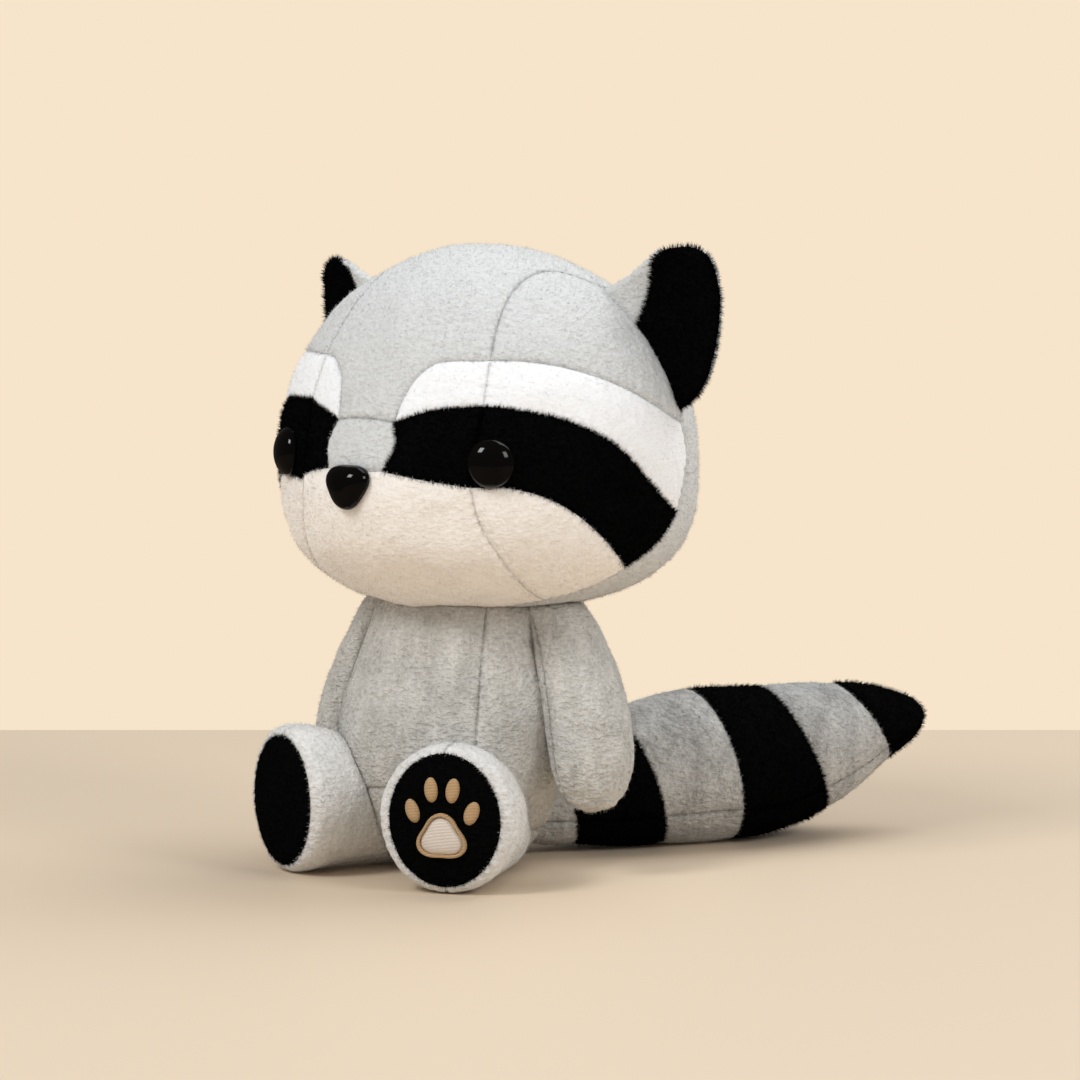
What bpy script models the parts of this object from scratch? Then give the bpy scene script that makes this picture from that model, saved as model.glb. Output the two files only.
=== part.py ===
"""Sitting plush raccoon with a ringed tail, about 195 mm tall.

Sewn pile fabric panels over loose polyester stuffing, with black safety eyes and nose that are
locked by washers inside the head. The origin is on the floor under the seat, +Z is up, the face
looks along -Y and the toy's left side is at +X. All sizes are in metres.
"""

import math

import bmesh
import bpy
import numpy as np
from mathutils import Matrix, Vector, geometry

# Sizes of the fabric and the clearances
FABRIC = 0.0022  # thickness of backing and pressed pile
SEAM_GAP = 0.0005  # slit between two panels where they are sewn
SEAT_GAP = 0.0003  # clearance between pieces that touch
STUFFING_GAP = 0.0007  # clearance between a panel's back and the stuffing
HEAD_STUFFING_GAP = 0.0018  # the same in the head, with the facets' sag
CUT_GAP = 0.0005  # clearance of a form that cuts its neighbours, with the facets' sag
FACET = 0.0130  # length of a facet's edge inside the head's panels
SEAM_FACET = 0.0090  # the same along the head's seams

# Sizes of the body
BODY_HALF_WIDTH = 0.0370
BODY_HALF_DEPTH = 0.0355
BODY_HEIGHT = 0.0900
BODY_CENTRE_Y = 0.0020
BODY_LEAN = 0.0075  # how far back the neck sits from the seat
LEAN_START = 0.39  # share of the height at which the lean starts
LEAN_RUN = 0.5  # share of the height over which it grows to its full size
MOST_LEAN = 1.4  # share of that run at which it stops
LEAN_POWER = 1.3
BODY_LEVELS = (0.0, 0.033, 0.089, 0.167, 0.244, 0.333, 0.422, 0.5, 0.611, 0.722, 0.833, 1.0)  # of the height
BODY_SHARES = (0.40, 0.54, 0.67, 0.80, 0.89, 0.96, 0.995, 1.0, 0.965, 0.905, 0.84, 0.77)  # of the girth
SIDE_SEAM_LON = 47.0
SEAT_SEAM_HEIGHT = 0.0130
SEAT_SEAM_FRONT_RISE = 0.0150

# Sizes of the head
HEAD_SET_BACK = 0.018
HEAD_LIFT = 0.038  # from the top of the body's form to the head's centre
HEAD_CENTRE = (0.0, HEAD_SET_BACK, BODY_HEIGHT + HEAD_LIFT)
HEAD_HALF_WIDTH = 0.068
HEAD_HALF_DEPTH = 0.060
HEAD_BACK_DEPTH = 0.063
HEAD_RISE = 0.0657
HEAD_DROP = 0.0465
CROWN_ROUNDNESS = 2.0  # exponent of the upper half, 2 is an ellipsoid
CHIN_ROUNDNESS = 2.9  # exponent of the fuller lower half
MUZZLE_BULGE = 0.0075
MUZZLE_HALF_WIDTH = 0.024
MUZZLE_RISE = 0.019
MUZZLE_DROP = 0.024
MUZZLE_Z = -0.010  # from the head's centre
FRONT_SEAM_SKEW = 5.0  # degrees that the front seams sit towards the toy's left
CHART_SCALE = 0.062  # mean radius of the head, which turns the flat maps' angles into lengths

# Sizes of the eyes, the nose and their washers
EYE_DIAMETER = 0.0150
EYE_HEIGHT = 0.0055
EYE_RIM = 0.0010  # thickness of the eye's straight rim
EYE_LON = 36.5  # degrees from the face's middle
EYE_Z = 0.0025  # from the head's centre
NOSE_WIDTH = 0.0155
NOSE_TALL = 0.0138
NOSE_DEPTH = 0.0064
NOSE_RIM = 0.0010
NOSE_CORNERS = 0.10  # how far the nose's three corners stand out from its oval
NOSE_Z = -0.0045
SHANK_DIAMETER = 0.0042
SHANK_LENGTH = 0.0110
WASHER_DIAMETER = 0.0130
WASHER_THICKNESS = 0.0014
EYE_WASHER_DROP = 0.0012  # clearance of the washer under the curved fabric
NOSE_WASHER_DROP = 0.0035
EYE_SINK = 0.0007  # how far an eye presses into the pile
NOSE_SINK = 0.0014

# Sizes of the ears
EAR_CUP = 0.0050  # how far an ear's edges come forward of its middle
EAR_PLY_GAP = 0.0010  # between the backs of the front and the back
EAR_WRAP = 0.42  # share of the front that the back's fabric wraps round at the crown end
EAR_WRAP_END = 0.70  # share of the ear's height at which that wrap ends
EAR_WRAP_LEAST = 0.10  # share of it that is left above
EAR_COLUMNS = 6
EAR_ROWS = 5
EAR_ROOT = -0.10  # the leaf starts this share inside the head, which cuts it
EAR_CROWN_EDGE = ((0, 0), (2, 9), (2.6, 18), (2.6, 26))  # mm along and out from the base
EAR_TIP_EDGE = ((2.6, 26), (6.5, 34), (12.5, 36.8), (21, 33.5), (31, 27), (38, 21))
EAR_CHEEK_EDGE = ((44.4, 0), (44.5, 8), (42, 15.5), (38, 21))

# Sizes of the arms
SHOULDER_INSET = 0.0105
SHOULDER_SET_BACK = 0.0130
SHOULDER_DROP = 0.0050
SHOULDER = (BODY_HALF_WIDTH - SHOULDER_INSET, SHOULDER_SET_BACK, BODY_HEIGHT - SHOULDER_DROP)
ARM_LENGTH = 0.0705
ARM_HALF_THICK = 0.0108
ARM_HALF_DEEP = 0.0138
ARM_TWIST = 32.0  # degrees that the paw turns outwards
ARM_STATIONS = (0.0, 0.148, 0.326, 0.504, 0.681, 0.830, 0.926, 0.978, 1.0)  # shares of the length
ARM_OUT = (0.0, 0.092, 0.177, 0.245, 0.302, 0.333, 0.345, 0.349, 0.350)
ARM_AHEAD = (0.0, 0.0, 0.010, 0.025, 0.050, 0.080, 0.100, 0.112, 0.115)
ARM_DOWN = (0.0, 0.111, 0.267, 0.430, 0.599, 0.744, 0.839, 0.889, 0.911)
ARM_SHARES = (0.72, 0.84, 0.95, 1.0, 1.0, 0.90, 0.66, 0.36, 0.0)  # shares of the thickness

# Sizes of the legs
FOOT_HALF_WIDTH = 0.0212
FOOT_HALF_HEIGHT = 0.0228
SOLE_HALF_WIDTH = 0.0180
SOLE_HALF_HEIGHT = 0.0206
SOLE_BULGE = 0.0022
HIP = (0.0170, -0.0010)
SOLE_CENTRE = (0.0326, -0.0434)
LEG_LENGTH = math.dist(HIP, SOLE_CENTRE)
LEG_STATIONS = (0.0, 0.255, 0.511, 0.723, 0.872, 0.962, 1.0)  # shares of the length
LEG_HEIGHTS = (0.50, 0.68, 0.87, 0.97, 1.0, 0.965)  # shares of the foot's half height
LEG_WIDTHS = (0.62, 0.74, 0.88, 0.97, 1.0, 0.96)  # shares of the foot's half width

# Sizes of the tail
TAIL_INSET = 0.0045  # how far the tail's start sits inside the body's form
TAIL_ROOT = (0.0, BODY_HALF_DEPTH - TAIL_INSET)
TAIL_HEADING = 30.0  # degrees from straight back towards the toy's left
TAIL_LENGTH = 0.1466
TAIL_HALF_WIDTH = 0.0245
TAIL_RINGS = (0.0, 0.089, 0.278, 0.471, 0.660, 0.849)  # shares of the length
TAIL_RING_SLANT = 0.0055  # how far each ring's top sits towards the body from its middle
TAIL_STATIONS = (0.0, 0.103, 0.265, 0.42, 0.56, 0.66, 0.76, 0.85, 0.93, 0.98, 1.0)
TAIL_SHARES = (0.673, 0.735, 0.906, 1.0, 0.985, 0.91, 0.765, 0.58, 0.36, 0.16, 0.0)  # of the half width
TAIL_HEIGHTS = (0.816, 0.816, 0.914, 1.0, 1.02, 1.114, 1.257, 1.40, 1.47, 1.494, 1.498)  # of it too
TAIL_SEAM_SINK = 0.0012
TAIL_COLUMNS = 15
TAIL_SEAM_COLUMN = 5

# Rows of points along each form, as shares of its length or height
BODY_CUT_ROWS = (0.0, 0.044, 0.111, 0.2, 0.3, 0.4, 0.5, 0.611, 0.733, 0.867, 1.0)
BODY_STUFFING_ROWS = (0.0, 0.044, 0.133, 0.244, 0.4, 0.578, 0.778, 1.0)
ARM_ROWS = (0.0, 0.15, 0.32, 0.5, 0.68, 0.82, 0.92, 1.0)
LEG_ROWS = (0.0, 0.24, 0.46, 0.66, 0.82, 0.93, 1.0)
TAIL_STUFFING_ROWS = (0.0, 0.147, 0.294, 0.456, 0.618, 0.765, 0.882, 0.956, 1.0)

# Head seams on the toy's left, mirrored for its right. Each place is a longitude in degrees from
# the middle of the face, a height in millimetres from the head's centre, and the share of the
# front seams' skew that it takes.
EAR_CROWN_END = (105, 53, 0)
EAR_CHEEK_END = (106, 16, 0)
BROW_SEAM = (31.5, 33, 1)
MASK_TOP_SEAM = (29.5, 19.5, 1)
MASK_LOW_SEAM = (26, -5, 1)
CHIN_END = (60, -41.5, 0)
BROW_BACK = (105, 12, 0)
MASK_BACK_TOP = (101, -15.5, 0)
MASK_BACK_LOW = (84, -31.5, 0)
BRIDGE_TOP = (9.5, 14, 0)
BRIDGE_TOP_MIDDLE = (0, 14.8, 0)
BRIDGE_LOW = (8.5, -0.5, 0)
BRIDGE_LOW_MIDDLE = (0, -0.8, 0)
CROWN_MIDDLE = (180, 63.8, 0)
CHIN_MIDDLE = (0, -45.3, 0)
MASK_LOW_RUN = ((42, -5.3, 0), (52, -8.5, 0), (61, -14, 0), (72, -23, 0))
SEAMS = {
    "upper_front": (EAR_CROWN_END, (88, 58, 0.2), (66, 58.5, 0.5), (45, 54, 0.8), (35, 45, 1), BROW_SEAM),
    "brow_front": (BROW_SEAM, MASK_TOP_SEAM),
    "mask_front": (MASK_TOP_SEAM, (27, 6, 1), MASK_LOW_SEAM),
    "chin_front": (MASK_LOW_SEAM, (25, -18, 1), (33, -32, 1), CHIN_END),
    "brow_end": (BROW_SEAM, (21, 32.3, 0), (14.5, 28, 0), (11, 21, 0), BRIDGE_TOP),
    "brow_top": (BROW_SEAM, (50, 32.5, 0), (65, 29.5, 0), (80, 24, 0), (94, 17, 0), BROW_BACK),
    "mask_top_inner": (MASK_TOP_SEAM, (22, 18.3, 0), (14.5, 16, 0), BRIDGE_TOP),
    "mask_top_outer": (MASK_TOP_SEAM, (43, 18.5, 0), (59, 14.5, 0), (76, 4.5, 0), MASK_BACK_TOP),
    "mask_low_inner": (MASK_LOW_SEAM, (20, -3, 0), BRIDGE_LOW),
    "mask_low_outer": (MASK_LOW_SEAM, *MASK_LOW_RUN, MASK_BACK_LOW),
    "bridge_side": (BRIDGE_TOP, (11.0, 7, 0), BRIDGE_LOW),
    "ear_base": (EAR_CROWN_END, (107, 46, 0), (108, 36, 0), (107.5, 26, 0), EAR_CHEEK_END),
    "back_ear": (EAR_CHEEK_END, BROW_BACK),
    "back_brow": (BROW_BACK, (106, 0, 0), MASK_BACK_TOP),
    "back_mask": (MASK_BACK_TOP, (94, -24, 0), MASK_BACK_LOW),
    "back_cheek": (MASK_BACK_LOW, (73, -38, 0), CHIN_END),
    "back_chin": (CHIN_END, (42, -44.2, 0), CHIN_MIDDLE),
    "crown": (EAR_CROWN_END, (116, 57.6, 0), (130, 60.8, 0), (150, 63.0, 0), CROWN_MIDDLE),
}

# Linear colours
COLOURS = {
    "grey": (0.50, 0.49, 0.45),
    "white": (0.86, 0.86, 0.84),
    "cream": (0.82, 0.75, 0.68),
    "black": (0.012, 0.012, 0.013),
    "stuffing": (0.85, 0.85, 0.83),
    "gloss": (0.006, 0.006, 0.006),
    "washer": (0.75, 0.75, 0.73),
}
HEAD_COLOURS = {
    "forehead_centre": "grey",
    "forehead_side": "grey",
    "brow_inner": "white",
    "brow_outer": "white",
    "mask_inner": "black",
    "mask_outer": "black",
    "nose_bridge": "grey",
    "muzzle": "cream",
    "cheek": "cream",
    "head_back": "grey",
}
SIDES = {"left": 1, "right": -1}


# Objects and materials


def clear_scene():
    for obj in list(bpy.data.objects):
        bpy.data.objects.remove(obj, do_unlink=True)


def make_collection(name):
    collection = bpy.data.collections.new(name)
    bpy.context.scene.collection.children.link(collection)
    return collection


def material(name, colour):
    made = bpy.data.materials.new(name)
    made.use_nodes = True
    shader = made.node_tree.nodes["Principled BSDF"]
    shader.inputs["Base Color"].default_value = (*COLOURS[colour], 1.0)
    shader.inputs["Roughness"].default_value = {"gloss": 0.12, "washer": 0.5}.get(colour, 0.95)
    shader.inputs["Metallic"].default_value = 0.0
    return made


def add_object(name, mesh, colour):
    """A piece of the toy, with a material of its own."""
    obj = bpy.data.objects.new(name, mesh)
    mesh.materials.append(material(name, colour))
    TOY.objects.link(obj)
    return obj


def add_cutter(name, mesh):
    obj = bpy.data.objects.new(name, mesh)
    obj.hide_render = True
    obj.display_type = "WIRE"
    CUTTERS.objects.link(obj)
    return obj


def as_mesh(name, bm):
    mesh = bpy.data.meshes.new(name)
    bm.to_mesh(mesh)
    bm.free()
    mesh.shade_smooth()
    return mesh


def cut(obj, *cutters):
    """Cuts an object by the neighbours' forms, which are closed meshes."""
    for cutter in cutters:
        modifier = obj.modifiers.new("cut_" + cutter.name, "BOOLEAN")
        modifier.operation = "DIFFERENCE"
        modifier.solver = "MANIFOLD"
        modifier.object = cutter


# Curves


def smooth_curve(points, step):
    """A Catmull-Rom curve through the points, sampled about every step of its own units."""
    pts = np.asarray(points, float)
    ends = np.vstack([2 * pts[0] - pts[1], pts, 2 * pts[-1] - pts[-2]])
    runs = []
    for i in range(1, len(ends) - 2):
        p0, p1, p2, p3 = ends[i - 1 : i + 3]
        count = max(1, int(round(np.linalg.norm(p2 - p1) / step)))
        t = (np.arange(count) / count)[:, None]
        line = 2 * p1 + (p2 - p0) * t
        bend = (2 * p0 - 5 * p1 + 4 * p2 - p3) * t**2 + (3 * p1 - p0 - 3 * p2 + p3) * t**3
        runs.append(0.5 * (line + bend))
    return np.vstack([*runs, pts[-1:]])


def lengths_along(points):
    return np.concatenate([[0.0], np.linalg.norm(np.diff(points, axis=0), axis=1).cumsum()])


def run_at(points, at):
    """A smooth run through flat points, read at shares of its length from 0 to 1."""
    curve = smooth_curve(points, 0.5)
    travelled = lengths_along(curve)
    return np.stack([np.interp(at * travelled[-1], travelled, curve[:, k]) for k in range(2)], -1)


def profile(stations, values, at):
    """Smooth values between stations: cubic pieces with the mean slope at each station."""
    x, y = np.asarray(stations, float), np.asarray(values, float)
    slope = np.gradient(y, x)
    at = np.clip(at, x[0], x[-1])
    i = np.clip(np.searchsorted(x, at) - 1, 0, len(x) - 2)
    h = x[i + 1] - x[i]
    t = (at - x[i]) / h
    start = (2 * t**3 - 3 * t**2 + 1) * y[i] + (t**3 - 2 * t**2 + t) * h * slope[i]
    return start + (3 * t**2 - 2 * t**3) * y[i + 1] + (t**3 - t**2) * h * slope[i + 1]


def mirrored(points, side):
    return np.asarray(points, float) * np.array([side, 1.0, 1.0])


# Form of the head, on the outer face of the fabric and from its centre


def head_point(direction):
    """Point on the head in a direction: a superellipsoid with a fuller lower half and a muzzle."""
    d = direction / np.linalg.norm(direction, axis=-1, keepdims=True)
    depth = np.where(d[..., 1] < 0, HEAD_HALF_DEPTH, HEAD_BACK_DEPTH)
    level = np.hypot(d[..., 0] / HEAD_HALF_WIDTH, d[..., 1] / depth)
    up = d[..., 2] >= 0
    power = np.where(up, CROWN_ROUNDNESS, CHIN_ROUNDNESS)
    tall = np.where(up, HEAD_RISE, HEAD_DROP)
    reach = (level**power + np.abs(d[..., 2] / tall) ** power) ** (-1 / power)
    p = d * reach[..., None]
    above = p[..., 2] - MUZZLE_Z
    spread = np.where(above > 0, MUZZLE_RISE, MUZZLE_DROP)
    bulge = MUZZLE_BULGE * np.exp(-((p[..., 0] / MUZZLE_HALF_WIDTH) ** 2) - (above / spread) ** 2)
    faded = np.clip(-d[..., 1] / 0.4, 0, 1) ** 2
    return p + d * (bulge * faded)[..., None]


def head_surface(direction):
    """Points on the head in these directions, and the surface's normals there."""
    d = np.asarray(direction, float)
    d = d / np.linalg.norm(d, axis=-1, keepdims=True)
    steep = np.abs(d[..., 2:]) > 0.9
    aside = np.cross(d, np.where(steep, [0.0, 1.0, 0.0], [0.0, 0.0, 1.0])) * 2e-3
    above = np.cross(aside, d)
    run_a = head_point(d + aside) - head_point(d - aside)
    run_b = head_point(d + above) - head_point(d - above)
    normal = np.cross(run_b, run_a)
    normal /= np.linalg.norm(normal, axis=-1, keepdims=True)
    return head_point(d), normal * np.sign(np.sum(normal * d, -1, keepdims=True))


def head_place(lon, z):
    """Direction of the place at a longitude in degrees from the face's middle and at a height."""
    lon, z = np.radians(lon), np.asarray(z, float)
    tall = np.where(z >= 0, HEAD_RISE, HEAD_DROP)
    power = np.where(z >= 0, CROWN_ROUNDNESS, CHIN_ROUNDNESS)
    ring = np.clip(1 - np.abs(z / tall) ** power, 0, 1) ** (1 / power)
    depth = np.where(np.cos(lon) > 0, HEAD_HALF_DEPTH, HEAD_BACK_DEPTH)
    return np.stack([HEAD_HALF_WIDTH * ring * np.sin(lon), -depth * ring * np.cos(lon), z + 0 * lon], -1)


def to_chart(direction, facing):
    """Flat place of a direction on a map centred on the face (-1) or on the back of the head (1)."""
    d = direction / np.linalg.norm(direction, axis=-1, keepdims=True)
    angle = np.arccos(np.clip(facing * d[..., 1], -1, 1))
    flat = np.stack([-facing * d[..., 0], d[..., 2]], -1)
    flat /= np.maximum(np.linalg.norm(flat, axis=-1, keepdims=True), 1e-9)
    return flat * angle[..., None] * CHART_SCALE


def from_chart(place, facing):
    """Direction of a flat place on one of the two maps."""
    angle = np.linalg.norm(place, axis=-1) / CHART_SCALE
    turn = np.sin(angle) / np.maximum(angle, 1e-9) / CHART_SCALE
    return np.stack([-facing * place[..., 0] * turn, facing * np.cos(angle), place[..., 1] * turn], -1)


def head_solid(grown, subdivisions):
    """The closed form of the head, grown or shrunk along its normals.

    A grown form is lifted further by what its facets would sag below the true one.
    """
    bm = bmesh.new()
    bmesh.ops.create_icosphere(bm, subdivisions=subdivisions, radius=1.0)
    place, normal = head_surface(np.array([v.co for v in bm.verts]))
    if grown > 0:
        faces = np.array([[v.index for v in face.verts] for face in bm.faces])
        middle = place[faces].mean(1)
        sag = np.linalg.norm(head_point(middle), axis=-1) - np.linalg.norm(middle, axis=-1)
        lift = np.zeros(len(place))
        np.maximum.at(lift, faces, sag[:, None])
        place = place + normal * lift[:, None]
    for vert, outer in zip(bm.verts, place + normal * grown + HEAD_CENTRE):
        vert.co = outer
    return bm


# Seams of the head


def even_steps(directions):
    """The same run over the head, with its points a seam facet apart."""
    travelled = lengths_along(head_point(directions))
    stops = np.linspace(0, travelled[-1], max(1, int(round(travelled[-1] / SEAM_FACET))) + 1)
    return np.stack([np.interp(stops, travelled, directions[:, k]) for k in range(3)], -1)


def seam_through(directions):
    """A smooth seam over the head through a few places."""
    return even_steps(from_chart(smooth_curve(to_chart(directions, -1), FABRIC / 4), -1))


def seam(name, side):
    lon, z, skewed = np.array(SEAMS[name], float).T
    return seam_through(head_place(lon * side + FRONT_SEAM_SKEW * skewed, z / 1000))


def across(end, middle):
    """A short seam over the nose, from the toy's left to its right."""
    lon, z = np.array([end[0], 0, -end[0]]), np.array([end[1], middle[1], end[1]])
    return seam_through(head_place(lon, z / 1000))


def back_middle_seam():
    """The seam down the middle of the back of the head, from the crown to the chin."""
    heights = np.array([CROWN_MIDDLE[1], CHIN_MIDDLE[1]]) / 1000
    start, end = to_chart(head_place(np.array([180.0, 0.0]), heights), 1)[:, 1]
    rise = np.linspace(start, end, 200)
    return even_steps(from_chart(np.stack([0 * rise, rise], -1), 1))


def closed(*runs):
    """One closed outline from seams laid end to end."""
    return np.vstack([run[:-1] for run in runs])


def side_outlines(side):
    """Outlines of the head's panels on one side, as directions from its centre."""
    s = {name: seam(name, side) for name in SEAMS}
    r = {name: run[::-1] for name, run in s.items()}
    back_edge = (r["back_cheek"], r["back_mask"], r["back_brow"], r["back_ear"], r["ear_base"])
    return {
        "forehead_side": closed(s["upper_front"], s["brow_top"], r["back_ear"], r["ear_base"]),
        "brow_inner": closed(s["brow_front"], s["mask_top_inner"], r["brow_end"]),
        "brow_outer": closed(s["brow_top"], s["back_brow"], r["mask_top_outer"], r["brow_front"]),
        "mask_inner": closed(s["mask_front"], s["mask_low_inner"], r["bridge_side"], r["mask_top_inner"]),
        "mask_outer": closed(s["mask_top_outer"], s["back_mask"], r["mask_low_outer"], r["mask_front"]),
        "cheek": closed(s["chin_front"], r["back_cheek"], r["mask_low_outer"]),
        "head_back": closed(s["crown"], back_middle_seam(), r["back_chin"], *back_edge),
    }


def middle_outlines():
    """Outlines of the head's panels that cross its middle."""
    left = {name: seam(name, 1) for name in SEAMS}
    right = {name: seam(name, -1) for name in SEAMS}
    top, low = across(BRIDGE_TOP, BRIDGE_TOP_MIDDLE), across(BRIDGE_LOW, BRIDGE_LOW_MIDDLE)
    forehead_low = (left["upper_front"], left["brow_end"], top, right["brow_end"][::-1])
    forehead_top = (right["upper_front"][::-1], right["crown"], left["crown"][::-1])
    muzzle_top = (left["mask_low_inner"], low, right["mask_low_inner"][::-1])
    muzzle_low = (right["back_chin"], left["back_chin"][::-1])
    return {
        "forehead_centre": closed(*forehead_low, *forehead_top),
        "nose_bridge": closed(top, right["bridge_side"], low[::-1], left["bridge_side"][::-1]),
        "muzzle": closed(*muzzle_top, right["chin_front"], *muzzle_low, left["chin_front"][::-1]),
    }


# Fabric panels


def pull_seams_open(bm):
    """Moves the vertices on an open edge into the panel by half of the slit of a seam."""
    normals = bm.verts.layers.float_vector["normal"]
    moves = {}
    for edge in bm.edges:
        if not edge.is_boundary:
            continue
        inside = edge.link_faces[0].calc_center_median() - edge.verts[0].co
        for vert in edge.verts:
            into = vert[normals].cross(edge.verts[1].co - edge.verts[0].co).normalized()
            moves.setdefault(vert, []).append(into if into.dot(inside) > 0 else -into)
    for vert, pushes in moves.items():
        total = sum(pushes, Vector()) / len(pushes)
        vert.co += total * (SEAM_GAP / 2 / max(total.length_squared, 0.3))


def fabric(bm):
    """Opens a sheet's seams and gives it the fabric's thickness inwards along the form's normals."""
    pull_seams_open(bm)
    normals = bm.verts.layers.float_vector["normal"]
    made = bmesh.ops.extrude_face_region(bm, geom=bm.faces[:], use_keep_orig=True)["geom"]
    for vert in made:
        if isinstance(vert, bmesh.types.BMVert):
            vert.co -= vert[normals] * FABRIC
    bmesh.ops.triangulate(bm, faces=bm.faces[:])
    bmesh.ops.recalc_face_normals(bm, faces=bm.faces[:])
    return bm


def new_grid(points, normal):
    """A sheet through a grid of points, welded where its points meet."""
    rows, columns = points.shape[:2]
    bm = bmesh.new()
    layer = bm.verts.layers.float_vector.new("normal")
    bmesh.ops.create_grid(bm, x_segments=columns - 1, y_segments=rows - 1, size=1.0)
    order = sorted(bm.verts, key=lambda v: (round(v.co.y, 5), round(v.co.x, 5)))
    for vert, place, away in zip(order, points.reshape(-1, 3), normal.reshape(-1, 3)):
        vert.co = place
        vert[layer] = away
    bmesh.ops.remove_doubles(bm, verts=bm.verts, dist=1e-6)
    bmesh.ops.dissolve_degenerate(bm, dist=1e-6, edges=bm.edges)
    return bm


def grid_panel(name, points, normal, colour):
    """A fabric panel through a grid of points."""
    return add_object(name, as_mesh(name, fabric(new_grid(points, normal))), colour)


def closed_tube(points):
    """A solid through rings of points, with a flat cap at each end that hasn't shrunk to a point."""
    bm = new_grid(points, 0 * points)
    bmesh.ops.holes_fill(bm, edges=[e for e in bm.edges if e.is_boundary], sides=0)
    bmesh.ops.triangulate(bm, faces=bm.faces[:])
    bmesh.ops.recalc_face_normals(bm, faces=bm.faces[:])
    return bm


def within(outline, p):
    """Whether a flat point is inside a closed outline."""
    (x, y), (x2, y2) = outline.T, np.roll(outline, -1, axis=0).T
    crossing = (y > p[1]) != (y2 > p[1])
    rise = np.where(y2 == y, 1.0, y2 - y)
    return bool(np.sum(crossing & (p[0] < (x2 - x) * (p[1] - y) / rise + x)) % 2)


def distance_to(outline, p):
    """Distance from a flat point to a closed outline."""
    a, ab = outline, np.roll(outline, -1, axis=0) - outline
    t = np.clip(np.sum((p - a) * ab, 1) / np.maximum(np.sum(ab * ab, 1), 1e-18), 0, 1)
    return np.min(np.linalg.norm(a + ab * t[:, None] - p, axis=1))


def head_panel(name, run, colour, facing=-1):
    """A panel of the head: its flat outline is filled with triangles, then laid on the form."""
    outline = to_chart(run, facing)
    low, high = outline.min(0), outline.max(0)
    inside = []
    for k, y in enumerate(np.arange(low[1] + FACET / 2, high[1], FACET * math.sqrt(3) / 2)):
        for x in np.arange(low[0] + FACET * (0.25 + 0.5 * (k % 2)), high[0], FACET):
            if within(outline, (x, y)) and distance_to(outline, (x, y)) > 0.5 * FACET:
                inside.append((x, y))
    points = np.vstack([outline, *inside])
    (x, y), (x2, y2) = outline.T, np.roll(outline, -1, axis=0).T
    loop = list(range(len(outline)))[:: 1 if np.sum(x * y2 - y * x2) > 0 else -1]
    flat, _, faces, *_ = geometry.delaunay_2d_cdt([Vector(p) for p in points], [], [loop], 1, 1e-7)
    place, normal = head_surface(from_chart(np.array([tuple(v) for v in flat]), facing))
    bm = bmesh.new()
    layer = bm.verts.layers.float_vector.new("normal")
    verts = [bm.verts.new(p) for p in place + HEAD_CENTRE]
    for vert, away in zip(verts, normal):
        vert[layer] = away
    for face in faces:
        bm.faces.new([verts[i] for i in face])
    return add_object(name, as_mesh(name, fabric(bm)), colour)


def build_head():
    """The head's panels, and the stuffing inside them."""
    for name, run in middle_outlines().items():
        head_panel(name, run, HEAD_COLOURS[name])
    for word, side in SIDES.items():
        for name, run in side_outlines(side).items():
            head_panel(f"{name}_{word}", run, HEAD_COLOURS[name], 1 if name == "head_back" else -1)
    solid = head_solid(-FABRIC - HEAD_STUFFING_GAP, 3)
    return add_object("head_stuffing", as_mesh("head_stuffing", solid), "stuffing")


# Eyes and nose


def turned(name, rim, steps=14):
    """Mesh of a turned piece from a half outline in the XZ plane, top to bottom."""
    mesh = bpy.data.meshes.new(name)
    count = len(rim) - (rim[0] == rim[-1])
    edges = [(i, (i + 1) % count) for i in range(len(rim) - 1)]
    mesh.from_pydata([(x, 0.0, z) for x, z in rim[:count]], edges, [])
    return mesh, steps


def turn_on_head(obj, steps, lon, z, sink):
    """Turns the outline round its Z axis, which leaves the head at a place."""
    screw = obj.modifiers.new("turn", "SCREW")
    screw.axis = "Z"
    screw.steps = screw.render_steps = steps
    screw.use_merge_vertices = True
    screw.merge_threshold = 1e-5
    screw.use_smooth_shade = True
    return stand_on_head(obj, lon, z, sink)


def stand_on_head(obj, lon, z, sink):
    """Stands a piece on the head, with its underside pressed into the fabric."""
    place, normal = head_surface(head_place(lon, z))
    spin = Vector(normal).to_track_quat("Z", "Y").to_matrix().to_4x4()
    foot = place + normal * (SEAT_GAP - sink) + HEAD_CENTRE
    obj.matrix_world = Matrix.Translation(Vector(foot)) @ spin
    return obj


def rod(radius, top, bottom):
    """Half outline of a plain rod."""
    return [(0.0, top), (radius, top), (radius, bottom), (0.0, bottom)]


def build_eye(word, side, stuffing):
    """A domed eye with its shank, moulded in one."""
    radius, shank = EYE_DIAMETER / 2, SHANK_DIAMETER / 2
    arc = np.radians(np.linspace(68, 0, 4))
    dome = [(radius * math.cos(a), EYE_RIM + (EYE_HEIGHT - EYE_RIM) * math.sin(a)) for a in arc]
    under = [(radius * 0.93, 0.0), (shank, 0.0), (shank, -SHANK_LENGTH), (0.0, -SHANK_LENGTH)]
    mesh, steps = turned(f"eye_{word}", [(0.0, EYE_HEIGHT), *dome, *under])
    place = (EYE_LON * side, EYE_Z, EYE_SINK)
    turn_on_head(add_object(f"eye_{word}", mesh, "gloss"), steps, *place)
    panels = (f"mask_outer_{word}", f"mask_inner_{word}")
    fit_shank(f"eye_{word}", place, radius + SEAT_GAP, EYE_WASHER_DROP - EYE_SINK, stuffing, panels)


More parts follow.
